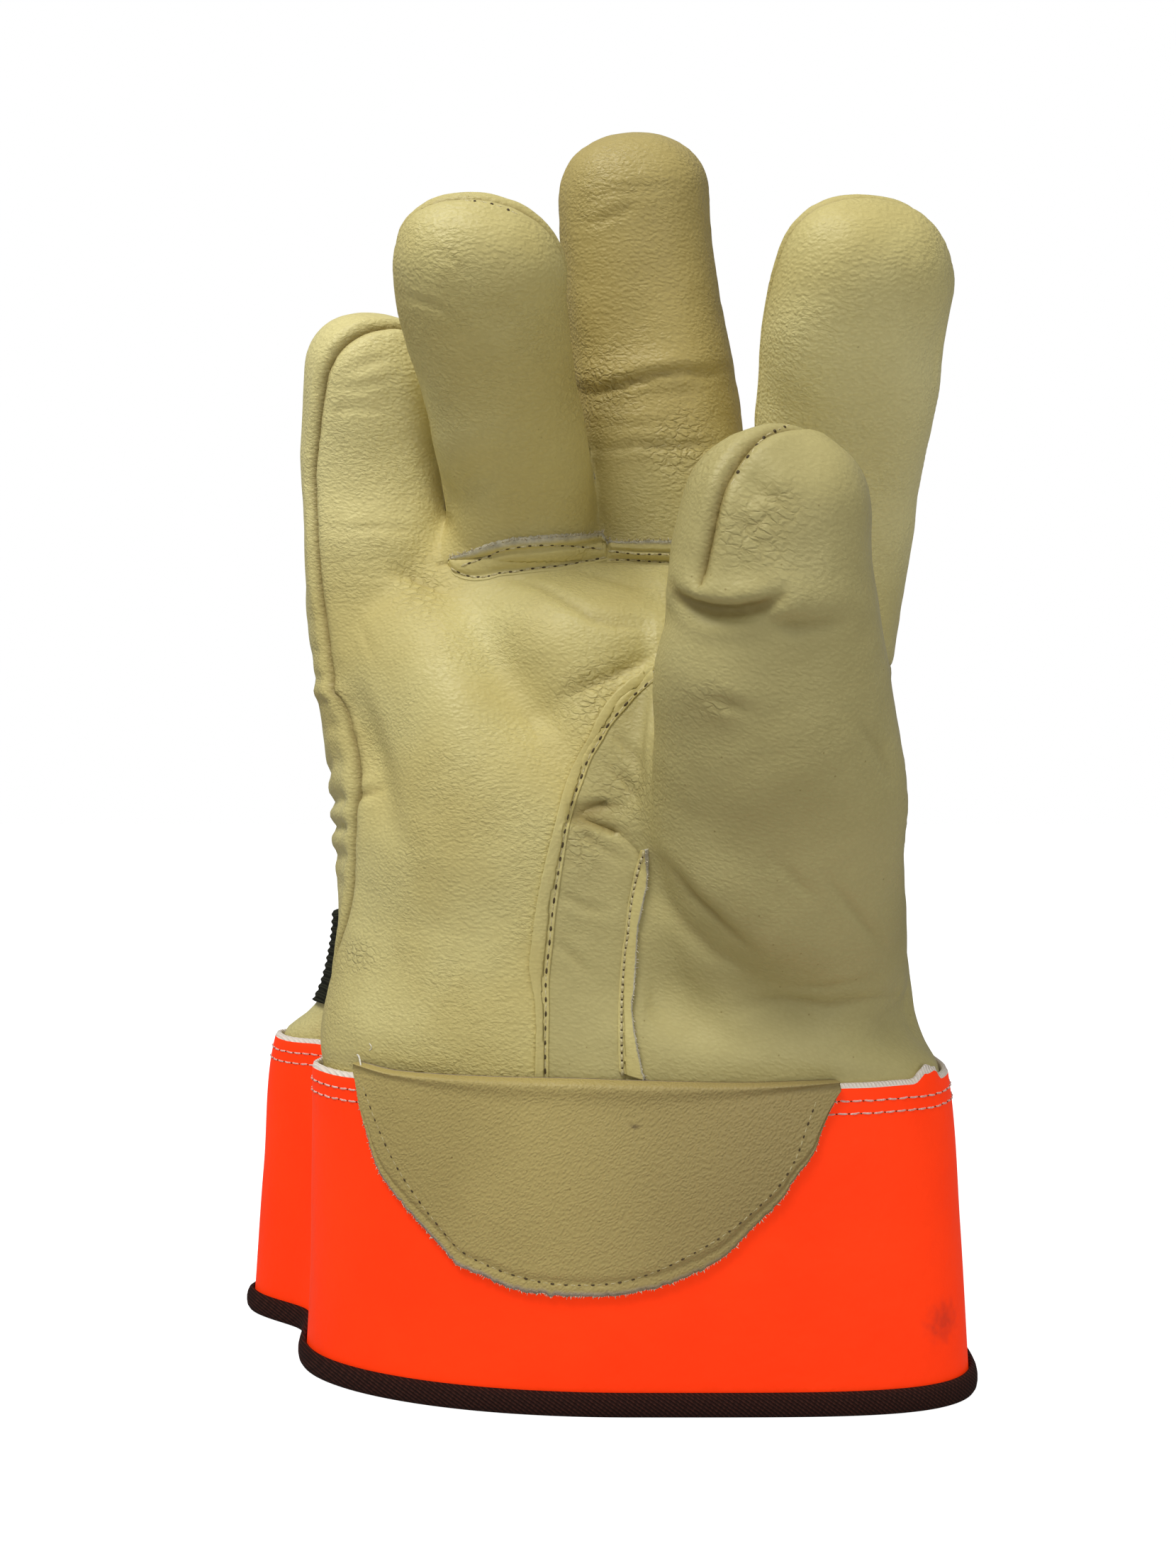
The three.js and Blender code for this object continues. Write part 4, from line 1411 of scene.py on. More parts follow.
def fibre(tree, given, lie):
    """A short loose fibre of a cut edge, leaning roughly the way of the line's directions."""
    lean = random_in(tree, (-1, -1, -1), (1, 1, 1), given["Seed"])
    way = direction(tree, "ADD", lie, direction(tree, "SCALE", lean, Scale=given["Spread"]))
    size = random_in(tree, 0.25, 1.0, plus(tree, given["Seed"], 7.0))
    shape = {
        "Vertices": 3,
        "Side Segments": 1,
        "Radius Top": times(tree, given["Thickness"], 0.35),
        "Radius Bottom": given["Thickness"],
        "Depth": given["Length"],
    }
    hair = node_in(tree, "GeometryNodeMeshCone", shape).outputs["Mesh"]
    return {"Instance": hair, "Rotation": upright_turn(tree, way), "Scale": size}


def along_lines(name, lines, tree, sizes, material, slot):
    """What a tree makes along lines, each a list of places and of directions, as one plain piece."""
    points, lie, edges = [], [], []
    for places, directions in lines:
        first = len(points)
        points.extend(((places + SHIFT) / METRE).tolist())
        lie.extend(directions.tolist())
        edges.extend((first + i, first + i + 1) for i in range(len(places) - 1))
    mesh = bpy.data.meshes.new(name + "_lines")
    mesh.from_pydata(points, edges, [])
    ways = mesh.attributes.new("lie", "FLOAT_VECTOR", "POINT")
    ways.data.foreach_set("vector", np.array(lie, np.float32).ravel())
    holder = new_object(name + "_lines", mesh)
    modifier = holder.modifiers.new("along", "NODES")
    modifier.node_group = tree
    for key, value in sizes.items():
        modifier[socket_key(tree, key)] = value
    modifier[socket_key(tree, "Material")] = material
    evaluated = holder.evaluated_get(bpy.context.evaluated_depsgraph_get())
    made = bpy.data.meshes.new_from_object(evaluated)
    bpy.data.objects.remove(holder)
    made.name = name
    add_piece(name, made, [], slot)


# Surfaces of the leather, vinyl, cloth and thread

def place_in(tree):
    """Places on the glove, in metres."""
    return node_in(tree, "ShaderNodeTexCoord").outputs["Object"]


def shade_group(name, inputs, outputs):
    """A group of shader nodes whose inputs and outputs are all numbers."""
    sockets = {key: ("NodeSocketFloat", value) for key, value in inputs.items()}
    results = dict.fromkeys(outputs.split(), "NodeSocketFloat")
    tree, given, result = new_tree(name, "ShaderNodeTree", sockets, results)
    return tree, given, result, place_in(tree)


def remap(tree, value, low, high, to_low=0.0, to_high=1.0):
    inputs = dict(enumerate((value, low, high, to_low, to_high)))
    return made_by(tree, "ShaderNodeMapRange", inputs, interpolation_type="SMOOTHSTEP")


def noise_node(tree, place, scale, detail=2.0, roughness=0.5):
    inputs = {"Vector": place, "Scale": scale, "Detail": detail, "Roughness": roughness}
    return node_in(tree, "ShaderNodeTexNoise", inputs)


def noise_in(tree, place, scale, detail=2.0, roughness=0.5):
    return noise_node(tree, place, scale, detail, roughness).outputs[0]


def cells_in(tree, place, scale, feature):
    return node_in(tree, "ShaderNodeTexVoronoi", {"Vector": place, "Scale": scale}, feature=feature).outputs


def drawn_out(tree, place, scale, **more):
    """Places for a pattern that is as many times larger each way as scale says."""
    inputs = {"Vector": place, "Scale": scale, **more}
    return made_by(tree, "ShaderNodeMapping", inputs, vector_type="TEXTURE")


def blend_colour(tree, share, one, other):
    """Two colours mixed. The share is the second one's."""
    one, other = ((*colour, 1) if isinstance(colour, tuple) else colour for colour in (one, other))
    return node_in(tree, "ShaderNodeMix", {0: share, 6: one, 7: other}, data_type="RGBA").outputs[2]


def blend_number(tree, share, one, other):
    return made_by(tree, "ShaderNodeMix", {0: share, 2: one, 3: other}, data_type="FLOAT")


def wandering(tree, place, scale, reach):
    """Places shifted by soft noise, so that what is drawn there loses its regularity."""
    bend = noise_node(tree, place, scale, 1.0).outputs["Color"]
    return direction(tree, "ADD", place, direction(tree, "SCALE", bend, Scale=reach))


def grain_group():
    """Leather grain: slanting pebbles, fine wrinkles where it was flexed, pores and clouds of tone."""
    sizes = {"Pebbles": 1350.0, "Slant": 0.1, "Flex": 0.6, "Crackle": 0.0}
    tree, given, result, place = shade_group("leather_grain", sizes, "Height Wrinkle Pore Cloud")
    turn = arrow(tree, Y=given["Slant"])
    slanted = drawn_out(tree, wandering(tree, place, 260.0, 0.0009), (1.35, 1.0, 0.87), Rotation=turn)
    pebbles = cells_in(tree, slanted, given["Pebbles"], "SMOOTH_F1")
    pebble = remap(tree, pebbles["Distance"], 0.05, 0.75, 1.0, 0.0)
    lines = noise_in(tree, drawn_out(tree, slanted, (1.25, 1.0, 0.9)), 1150.0)
    valley = remap(tree, calculate(tree, "ABSOLUTE", minus(tree, lines, 0.5)), 0.0, 0.11)
    flexed = times(tree, remap(tree, noise_in(tree, place, 48.0, 3.0, 0.6), 0.42, 0.66), given["Flex"])
    pebble_part = times(tree, pebble, blend_number(tree, flexed, 0.7, 1.2))
    valley_part = times(tree, valley, flexed)
    fine = times(tree, noise_in(tree, place, 2800.0, 1.0), 0.4)
    net = cells_in(tree, wandering(tree, slanted, 900.0, 0.0012), 560.0, "DISTANCE_TO_EDGE")
    split = times(tree, remap(tree, net["Distance"], 0.0, 0.22, 1.0, 0.0), given["Crackle"])
    relief = plus(tree, plus(tree, pebble_part, valley_part), fine)
    wrinkled = times(tree, flexed, minus(tree, 1.0, valley))
    pores = cells_in(tree, place, 330.0, "F1")
    pit = remap(tree, pores["Distance"], 0.04, 0.09, 1.0, 0.0)
    few = remap(tree, made_by(tree, "ShaderNodeSeparateColor", {"Color": pores["Color"]}), 0.7, 0.72)
    feed(tree, result, {
        "Height": minus(tree, relief, times(tree, split, 1.4)),
        "Wrinkle": plus(tree, wrinkled, split),
        "Pore": times(tree, pit, few),
        "Cloud": remap(tree, noise_in(tree, place, 26.0, 3.0), 0.32, 0.68),
    })
    return tree


def fuzz_group():
    """Matted fibres of a cut edge or of the flesh side of leather."""
    tree, _, result, place = shade_group("leather_fuzz", {}, "Height Tone")
    feed(tree, result, {
        "Height": noise_in(tree, place, 1900.0, 4.0, 0.7),
        "Tone": remap(tree, noise_in(tree, place, 500.0, 3.0, 0.6), 0.3, 0.7),
    })
    return tree


def weave_group():
    """Slanting strands of a woven tape."""
    tree, given, result, place = shade_group("tape_weave", {"Threads": 900.0, "Slant": 0.8}, "Height Tone")
    apart = node_in(tree, "ShaderNodeSeparateXYZ", {0: place}).outputs
    round_way = plus(tree, apart[0], times(tree, apart[1], 0.6))
    strands = []
    for lean, share in ((1.6, 0.7), (-0.56, 0.3)):
        rise = times(tree, apart[2], times(tree, given["Slant"], lean))
        run = times(tree, plus(tree, round_way, rise), given["Threads"])
        strands.append(times(tree, calculate(tree, "SINE", times(tree, run, 2 * math.pi)), share))
    both = plus(tree, *strands)
    loose = noise_in(tree, place, 2200.0)
    feed(tree, result, {
        "Height": plus(tree, remap(tree, both, -1.0, 1.0), times(tree, loose, 0.5)),
        "Tone": times(tree, remap(tree, both, -0.6, 0.9), remap(tree, loose, 0.3, 0.6, 0.4, 1.0)),
    })
    return tree


GRAIN = grain_group()
FUZZ = fuzz_group()
WEAVE = weave_group()


def new_material(name, roughness, specular=0.4, **more):
    """An empty material: its node tree and its Principled shader."""
    material = bpy.data.materials.new(name)
    material.use_nodes = True
    tree = material.node_tree
    tree.nodes.clear()
    inputs = {"Roughness": roughness, "Specular IOR Level": specular, **more}
    shader = node_in(tree, "ShaderNodeBsdfPrincipled", inputs)
    node_in(tree, "ShaderNodeOutputMaterial", {0: shader.outputs[0]})
    return material, tree, shader


def group_in(tree, group, inputs=None):
    return node_in(tree, "ShaderNodeGroup", inputs, node_tree=group).outputs


def number_in(tree, name):
    return node_in(tree, "ShaderNodeAttribute", attribute_name=name).outputs["Fac"]


def bump_in(tree, height, depth, **more):
    """Depth is in metres."""
    return made_by(tree, "ShaderNodeBump", {"Height": height, "Distance": depth, "Strength": 1.0, **more})


def spot_mask(tree, place, size, flatness=1.0, unevenness=0.4, fineness=700.0):
    """A soft uneven spot at a place on the glove, in millimetres, wider than it is high."""
    bend = size * unevenness / METRE
    wandered = wandering(tree, place_in(tree), fineness, 2 * bend)
    off = direction(tree, "SUBTRACT", wandered, tuple((np.array(place) + SHIFT) / METRE + bend))
    flat = direction(tree, "MULTIPLY", off, (1.0, 1.0, flatness))
    far = node_in(tree, "ShaderNodeVectorMath", {0: flat}, operation="LENGTH").outputs["Value"]
    return remap(tree, far, 0.0, size / METRE, 1.0, 0.0)


LEATHER_LIGHT = (0.69, 0.61, 0.26)
LEATHER_DEEP = (0.60, 0.505, 0.19)
# Of the next two colours, the ochre is partly the fingers' own tone and partly painted shade, and the pale
# one is painted light.
LEATHER_OCHRE_AND_SHADE = (0.44, 0.34, 0.11)
LEATHER_PAINTED_LIGHT = (0.86, 0.77, 0.36)
# Darker colour of the grain's valleys and pores, and painted shade in creases and seam grooves.
LEATHER_GRAIN_AND_CREASE_SHADE = (0.26, 0.19, 0.055)
RAW_LEATHER = (0.72, 0.67, 0.50)
FLESH_SHADE = (0.52, 0.45, 0.26)
# The thumb's leather is darker, partly its own tone as a separate piece and partly painted shade where it
# leans forward out of the overhead light.
THUMB_LIGHT = (0.57, 0.50, 0.215)
THUMB_DEEP = (0.49, 0.425, 0.175)
PATCH_LIGHT = (0.52, 0.415, 0.15)
PATCH_DEEP = (0.45, 0.355, 0.125)
PATCH_RAW = (0.52, 0.43, 0.33)
# The next colour is painted shade for the patch's right end.
PATCH_PAINTED_SHADE = (0.33, 0.25, 0.095)
RUB_MARK = (0.13, 0.09, 0.04)
VINYL_LIGHT = (0.93, 0.042, 0.004)
VINYL_DEEP = (0.87, 0.034, 0.003)
VINYL_SMUDGE = (0.25, 0.03, 0.02)
# The next two colours are a steady glow of painted light standing in for the vinyl's fluorescence, dimmer in
# the smudge.
VINYL_GLOW = (1.0, 0.045, 0.003)
VINYL_SMUDGE_GLOW = (0.1, 0.01, 0.01)
FUZZ_DEPTH = 0.0004


def grain_leather(name, light, deep, slant=0.1, flex=0.6, relief=0.00014, pores=0.35, raw=None,
                  tone_and_painted_light=None, kept=None, pebbles=1450.0):
    """Smooth-side cowhide, with darker grain, painted shade in its creases and seam grooves, and a pale
    fuzzy raw edge. The tone attribute adds an ochre that is partly its own tone and partly painted shade,
    and below 0 a pale painted light.
    """
    material, tree, shader = new_material(name, 0.5, 0.32)
    crackle = number_in(tree, "crackled")
    grain = group_in(tree, GRAIN, {"Pebbles": pebbles, "Slant": slant, "Flex": flex, "Crackle": crackle})
    colour = blend_colour(tree, grain["Cloud"], light, deep)
    # Ochre, partly the leather's own tone and partly painted shade, where the attribute is above 0, and pale
    # painted light where it is below 0.
    if tone_and_painted_light:
        tone_and_shade = number_in(tree, "tone_and_painted_light")
        colour = blend_colour(tree, remap(tree, tone_and_shade, 0.0, 1.0, 0.0, 0.85), colour, tone_and_painted_light)
        colour = blend_colour(tree, remap(tree, tone_and_shade, -1.0, 0.0, 1.0, 0.0), colour, kept)
    # Darker in the grain's valleys, wrinkles and pores, and painted shade in the creases and seam grooves.
    for darker in (
        remap(tree, grain["Height"], 0.2, 1.1, 0.1, 0.0),
        times(tree, grain["Wrinkle"], 0.2),
        times(tree, grain["Pore"], pores),
        remap(tree, number_in(tree, "crease_shade_depth"), -1.2, 0.0, 0.7, 0.0),
    ):
        colour = blend_colour(tree, darker, colour, LEATHER_GRAIN_AND_CREASE_SHADE)
    rough = remap(tree, grain["Cloud"], 0.0, 1.0, 0.44, 0.56)
    normal = bump_in(tree, grain["Height"], relief)
    if raw:
        fuzz = group_in(tree, FUZZ)
        edge = remap(tree, number_in(tree, "raw"), 0.2, 0.7)
        shaded = tuple(0.7 * part for part in raw)
        colour = blend_colour(tree, edge, colour, blend_colour(tree, fuzz["Tone"], raw, shaded))
        normal = bump_in(tree, times(tree, fuzz["Height"], edge), FUZZ_DEPTH, Normal=normal)
        rough = blend_number(tree, edge, rough, 0.95)
    feed(tree, shader, {"Roughness": rough, "Base Color": colour, "Normal": normal})
    return material


def flesh_leather():
    material, tree, shader = new_material("leather_flesh_side", 0.95, 0.1)
    fuzz = group_in(tree, FUZZ)
    colour = blend_colour(tree, fuzz["Tone"], RAW_LEATHER, FLESH_SHADE)
    feed(tree, shader, {"Base Color": colour, "Normal": bump_in(tree, fuzz["Height"], FUZZ_DEPTH)})
    return material


# The smudge on the cuff and the rub mark on the patch, and the span over which painted shade darkens the
# patch to the right
SMUDGE_SPOT = (1330, 1864)
SMUDGE_SIZE = 6.0
RUB_SPOT = (896, 1584)
RUB_SIZE = 2.1
RUB_FLATNESS = 2.6
PATCH_SHADE_SPAN = (-15, 40)


def shade_and_mark_patch(material, place):
    """Painted shade darkens the patch towards its right end, and it has a small dark rub mark."""
    tree = material.node_tree
    shader = next(node for node in tree.nodes if node.bl_idname == "ShaderNodeBsdfPrincipled")
    colour = shader.inputs["Base Color"].links[0].from_socket
    across = made_by(tree, "ShaderNodeSeparateXYZ", {0: place_in(tree)})
    start, end = ((SHIFT[0] + x) / METRE for x in PATCH_SHADE_SPAN)
    # Painted shade, growing towards the patch's right end.
    colour = blend_colour(tree, remap(tree, across, start, end, 0.0, 0.8), colour, PATCH_PAINTED_SHADE)
    mark = times(tree, spot_mask(tree, place, RUB_SIZE, RUB_FLATNESS), 0.9)
    feed(tree, shader, {"Base Color": blend_colour(tree, mark, colour, RUB_MARK)})


def orange_vinyl():
    """Fluorescent coated vinyl, faintly clouded, with the picture's soft smudge near its right edge. Its
    steady orange glow, dimmer in the smudge, is painted light standing in for the fluorescence.
    """
    material, tree, shader = new_material("orange_vinyl", 0.55, 0.14, **{"Emission Strength": 0.42})
    place = place_in(tree)
    cloud = remap(tree, noise_in(tree, place, 40.0, 3.0), 0.3, 0.7)
    colour = blend_colour(tree, cloud, VINYL_LIGHT, VINYL_DEEP)
    smudge = times(tree, spot_mask(tree, seen_place(cuff_tree, SMUDGE_SPOT)[0], SMUDGE_SIZE), 0.45)
    peel = bump_in(tree, noise_in(tree, place, 900.0), 0.00005)
    feed(tree, shader, {
        "Base Color": blend_colour(tree, smudge, colour, VINYL_SMUDGE),
        "Emission Color": blend_colour(tree, smudge, VINYL_GLOW, VINYL_SMUDGE_GLOW),
        "Normal": bump_in(tree, noise_in(tree, place, 160.0), 0.0003, Normal=peel),
    })
    return material


def woven_cloth(name, light, dark, threads, slant, depth):
    material, tree, shader = new_material(name, 0.85, 0.15)
    weave = group_in(tree, WEAVE, {"Threads": threads, "Slant": slant})
    colour = blend_colour(tree, weave["Tone"], dark, light)
    feed(tree, shader, {"Base Color": colour, "Normal": bump_in(tree, weave["Height"], depth)})
    return material


def twisted_thread(name, light, dark):
    """Sewing thread, with its twist and a little wear."""
    material, tree, shader = new_material(name, 0.6, 0.3)
    twist = noise_in(tree, place_in(tree), 2400.0)
    colour = blend_colour(tree, remap(tree, twist, 0.3, 0.7), light, dark)
    feed(tree, shader, {"Base Color": colour, "Normal": bump_in(tree, twist, 0.00015)})
    return material


# The hand's leather has ochre that is partly its own tone and partly painted shade, and pale painted light.
hand_leather = grain_leather(
    "hand_leather", LEATHER_LIGHT, LEATHER_DEEP, flex=0.4, tone_and_painted_light=LEATHER_OCHRE_AND_SHADE, kept=LEATHER_PAINTED_LIGHT
)
thumb_leather = grain_leather(
    "thumb_leather", THUMB_LIGHT, THUMB_DEEP, slant=0.3, flex=0.2, relief=0.00009, pores=0.6
)
seam_leather = grain_leather(
    "seam_leather", LEATHER_LIGHT, LEATHER_DEEP, flex=0.2, relief=0.00006, pores=0.2, raw=RAW_LEATHER
)
patch_leather = grain_leather(
    "patch_leather", PATCH_LIGHT, PATCH_DEEP,
    slant=-0.75, flex=0.1, relief=0.00017, pores=0.8, raw=PATCH_RAW, pebbles=1900.0,
)
shade_and_mark_patch(patch_leather, seen_place(cuff_tree, RUB_SPOT)[0] + [0, -1.6, 0])
flesh_side = flesh_leather()
cuff_vinyl = orange_vinyl()
cuff_backing = woven_cloth(
    "cuff_backing_cloth", (0.95, 0.88, 0.79), (0.86, 0.75, 0.64), threads=1100.0, slant=0.2, depth=0.0002
)
binding_tape = woven_cloth(
    "binding_tape", (0.060, 0.020, 0.013), (0.020, 0.007, 0.005), threads=850.0, slant=0.9, depth=0.0003
)
strap_webbing = woven_cloth(
    "strap_webbing", (0.036, 0.036, 0.020), (0.014, 0.015, 0.009), threads=1200.0, slant=0.5, depth=0.0002
)
leather_thread = twisted_thread("leather_thread", (0.66, 0.59, 0.33), (0.46, 0.38, 0.17))
cuff_thread = twisted_thread("cuff_thread", (0.86, 0.62, 0.56), (0.78, 0.36, 0.28))
pale_thread = twisted_thread("pale_thread", (0.90, 0.87, 0.76), (0.70, 0.66, 0.55))
# Dark painted shade for the needle holes, made like a thread.
needle_hole_shade = twisted_thread("needle_hole_shade", (0.10, 0.07, 0.03), (0.055, 0.038, 0.016))
loose_fibre = twisted_thread("loose_fibre", (0.74, 0.68, 0.50), (0.52, 0.44, 0.30))


# Leather panels

for panel in ("palm", "back", "ring_finger_front", "middle_finger_front"):
    leather_panel(panel, [hand_leather, flesh_side])
for panel in ("thumb_outer", "thumb_inner"):
    leather_panel(panel, [thumb_leather, flesh_side])


# Stitches, needle holes and fibres on the leather

STITCH_SIZES = {"Pitch": 0.003, "Length": 0.0022, "Thickness": 0.0006, "Rise": 0.0004, "Dip": 0.0003}
FIBRE_SIZES = {"Pitch": 0.0006, "Length": 0.0011, "Thickness": 0.00016, "Spread": 0.9}
STITCHES = row_tree("stitch_row", STITCH_SIZES, stitch)
HOLES = row_tree("needle_holes", {"Pitch": 0.003, "Length": 0.0009, "Width": 0.00045}, needle_pit)
FIBRES = row_tree("edge_fibres", FIBRE_SIZES, fibre)


def between_stitches(line, pitch):
    """A line cut short by half a stitch at both ends, so that what follows it falls between stitches."""
    run = run_along(line[0])
    marks = np.linspace(pitch / 2, run[-1] - pitch / 2, len(run))
    return [np.stack([np.interp(marks, run, column) for column in values.T], -1) for values in line]


def in_metres(**sizes):
    return {name: size / METRE for name, size in sizes.items()}


def sewn_row(name, lines, pitch, thread, hole, rise=0.3, length=0.75, seed=1, material=leather_thread):
    """Stitches along lines, in millimetres. Length is a share of the pitch. A hole has length and width."""
    sizes = in_metres(Pitch=pitch, Length=pitch * length, Thickness=thread, Rise=rise)
    along_lines(name + "_stitches", lines, STITCHES, {**sizes, "Seed": seed}, material, "thread")
    shifted = [between_stitches(line, pitch) for line in lines]
    hole_sizes = in_metres(Pitch=pitch, Length=hole[0], Width=hole[1])
    along_lines(name + "_holes", shifted, HOLES, {**hole_sizes, "Seed": seed}, needle_hole_shade, "thread")


def fibres(name, rings, slot, length, spacing, seed):
    sizes = {**in_metres(Pitch=spacing, Length=length), "Seed": seed}
    along_lines(name + "_fibres", [far_edge_of(rings)], FIBRES, sizes, loose_fibre, slot)


# Welts of the seam across the finger bases, and the strips of the seams down the palm

RING_WELT_LOW = [
    (632, 799), (640, 811), (662, 819), (688, 818), (706, 813), (728, 811), (752, 808), (798, 803),
    (858, 790),
]
RING_WELT_TOP = [
    (634, 789), (647, 784), (668, 775), (688, 767), (720, 759), (752, 756), (798, 753), (846, 756),
    (860, 769),
]
RING_ROW_LOW = [
    (640, 804), (662, 813), (688, 813), (706, 808), (728, 806), (752, 802), (798, 797), (850, 787),
]
RING_ROW_TOP = [(655, 797), (672, 791), (687, 786), (706, 777), (752, 770), (798, 770), (844, 774)]
MIDDLE_WELT_LOW = [(856, 793), (889, 794), (917, 795), (944, 797), (1030, 798)]
MIDDLE_WELT_TOP = [(857, 767), (880, 765), (917, 763), (954, 763), (1030, 764)]
MIDDLE_ROW_TOP = [(864, 778), (889, 781), (917, 782), (944, 782), (1026, 783)]
MIDDLE_ROW_LOW = [(864, 790), (889, 790), (917, 792), (942, 794), (1026, 795)]
PALM_ROW = [
    (919, 960), (894, 981), (880, 997), (857, 1024), (844, 1047), (830, 1070), (818, 1102),
    (807, 1132), (798, 1166), (791, 1208), (784, 1254), (779, 1290), (775, 1332), (770, 1382),
    (770, 1420), (769, 1469), (769, 1521),
]
PALM_STRIP_EDGE = [
    (924, 939), (880, 967), (853, 997), (830, 1042), (807, 1084), (793, 1121), (782, 1166),
    (770, 1212), (759, 1263), (752, 1313), (747, 1368), (755, 1420), (755, 1521),
]
THUMB_ROW = [
    (910, 1199), (901, 1226), (895, 1254), (890, 1281), (886, 1318), (882, 1345), (878, 1396),
    (877, 1420), (877, 1481), (878, 1512),
]
THUMB_STRIP_EDGE = [
    (915, 1197), (915, 1236), (908, 1277), (901, 1309), (898, 1345), (895, 1396), (892, 1420),
    (898, 1469), (910, 1524),
]


def moved(line, across):
    return [(x + across, y) for x, y in line]


def welt_height(low_row, top_row):
    """A turned-up double thickness, full between its two rows of stitches and pulled down along them."""
    def height(along, share):
        swell = 0.15 + 1.5 * smooth_step(share, -0.05, 0.5)
        pulled = 0.6 * bell(share - low_row, 0.08) + 0.7 * bell(share - top_row, 0.07)
        ends = 0.4 + 0.6 * smooth_step(min(along, 1 - along), 0.0, 0.04)
        return max(swell - pulled, 0.12) * ends
    return height


def strip_height(row):
    """A single raw-edged thickness, pulled down along its stitches."""
    def height(_, share):
        return 0.3 + 0.6 * smooth_step(share, 0.0, 0.35) - 0.35 * bell(share - row, 0.14)
    return height


ring_welt = laid_sheet(
    hand_tree, RING_WELT_LOW, RING_WELT_TOP, 150, 32, welt_height(0.12, 0.7),
    ragged=0.05, seed=1.0, rawness=6,
)
middle_welt = laid_sheet(
    hand_tree, MIDDLE_WELT_LOW, MIDDLE_WELT_TOP, 110, 24, welt_height(0.14, 0.52),
    ragged=0.05, seed=2.0, rawness=6,
)
palm_strip = laid_sheet(
    seam_tree, moved(PALM_ROW, 5), PALM_STRIP_EDGE, 220, 14, strip_height(0.22),
    ragged=0.03, seed=3.0, cut_edge=0.25,
)
thumb_strip = laid_sheet(
    glove_tree, moved(THUMB_ROW, -5), THUMB_STRIP_EDGE, 170, 14, strip_height(0.28),
    ragged=0.07, seed=4.0,
)
ring_tree = sewn_sheet("ring_seam_welt", *ring_welt, seam_leather, "raw_leather")
middle_tree = sewn_sheet("middle_seam_welt", *middle_welt, seam_leather, "raw_leather")
palm_tree = sewn_sheet("palm_seam_strip", *palm_strip, seam_leather, "raw_leather")
thumb_tree = sewn_sheet("thumb_seam_strip", *thumb_strip, seam_leather, "raw_leather")

fibres("ring_welt", ring_welt[0], "raw_leather", length=0.9, spacing=0.3, seed=1)
fibres("middle_welt", middle_welt[0], "raw_leather", length=0.8, spacing=0.35, seed=2)
fibres("thumb_strip", thumb_strip[0], "raw_leather", length=0.6, spacing=0.6, seed=4)

ring_rows = [laid_line(ring_tree, RING_ROW_LOW, 90), laid_line(ring_tree, RING_ROW_TOP, 80)]
middle_rows = [laid_line(middle_tree, row, 60) for row in (MIDDLE_ROW_LOW, MIDDLE_ROW_TOP)]
sewn_row("ring_welt", ring_rows, pitch=2.4, thread=0.55, hole=(0.85, 0.42))
sewn_row("middle_welt", middle_rows, pitch=2.1, thread=0.5, hole=(0.75, 0.38), seed=2)
sewn_row("palm_seam", [laid_line(palm_tree, PALM_ROW, 200)],
         pitch=2.9, thread=0.4, rise=0.12, hole=(1.25, 0.5), seed=3)
sewn_row("thumb_seam", [laid_line(thumb_tree, THUMB_ROW, 120)],
         pitch=1.5, thread=0.7, rise=0.4, length=0.85, hole=(0.8, 0.5), seed=4)


# Needle marks on the seams over the finger tips
THUMB_TIP_ROW = [(1112, 600), (1087, 611), (1073, 622), (1060, 638), (1046, 657), (1036, 676)]
RING_TIP_ROW = [(660, 283), (682, 285), (705, 291), (726, 300)]

sewn_row("thumb_tip", [laid_line(glove_tree, THUMB_TIP_ROW, 40)],
         pitch=2.8, thread=0.4, rise=0.1, hole=(0.7, 0.6), seed=7)
sewn_row("ring_tip", [laid_line(hand_tree, RING_TIP_ROW, 30)],
         pitch=2.6, thread=0.4, rise=0.1, hole=(0.7, 0.5), seed=8)


# Cuff, with its binding, the wrist strap and the patch

PATCH_TOP_EDGE = [
    (507, 1497), (562, 1510), (685, 1518), (807, 1521), (930, 1525), (1052, 1527), (1126, 1525),
    (1180, 1523),
]
PATCH_RAW_EDGE = [
    (505, 1507), (513, 1561), (523, 1598), (538, 1647), (562, 1683), (593, 1720), (624, 1754),
    (648, 1781), (685, 1797), (716, 1812), (758, 1821), (807, 1825), (869, 1824), (930, 1812),
    (979, 1793), (1022, 1769), (1058, 1732), (1101, 1689), (1120, 1659), (1144, 1628), (1160, 1585),
    (1175, 1552), (1183, 1538),
]
PATCH_ROW = [
    (513, 1536), (532, 1588), (556, 1640), (587, 1689), (618, 1729), (648, 1763), (685, 1784),
    (728, 1800), (777, 1811), (832, 1813), (881, 1808), (930, 1792), (979, 1768), (1028, 1738),
    (1071, 1702), (1101, 1671), (1123, 1634), (1138, 1591), (1150, 1558),
]


CUFF_SIDES = 300
COAT_STEP = 1.6
COAT_EDGE = 0.95

# The binding's section: heights and distances outwards from the cuff's outer face
BINDING_OUTSIDE = [
    (4.9, 0.35), (5.0, 0.8), (4.6, 1.35), (3.8, 1.7), (2.8, 1.85), (1.8, 1.8), (0.9, 1.6), (0.3, 1.2),
    (0.0, 0.7),
]
BINDING_INSIDE = [
    (0.0, -2.1), (0.3, -2.6), (0.9, -3.0), (1.8, -3.2), (2.8, -3.2), (3.8, -3.05), (4.6, -2.7), (5.0, -2.2),
    (4.9, -1.75),
]
RIB_PITCH = 1.8
RIB_DEPTH = 0.22
RIB_STEP = 0.3
STRAP_TURNS = (0.56, 1.03)
STRAP_THICKNESS = 1.45
STRAP_EDGE = 0.6
STRAP_UNDER = 0.15


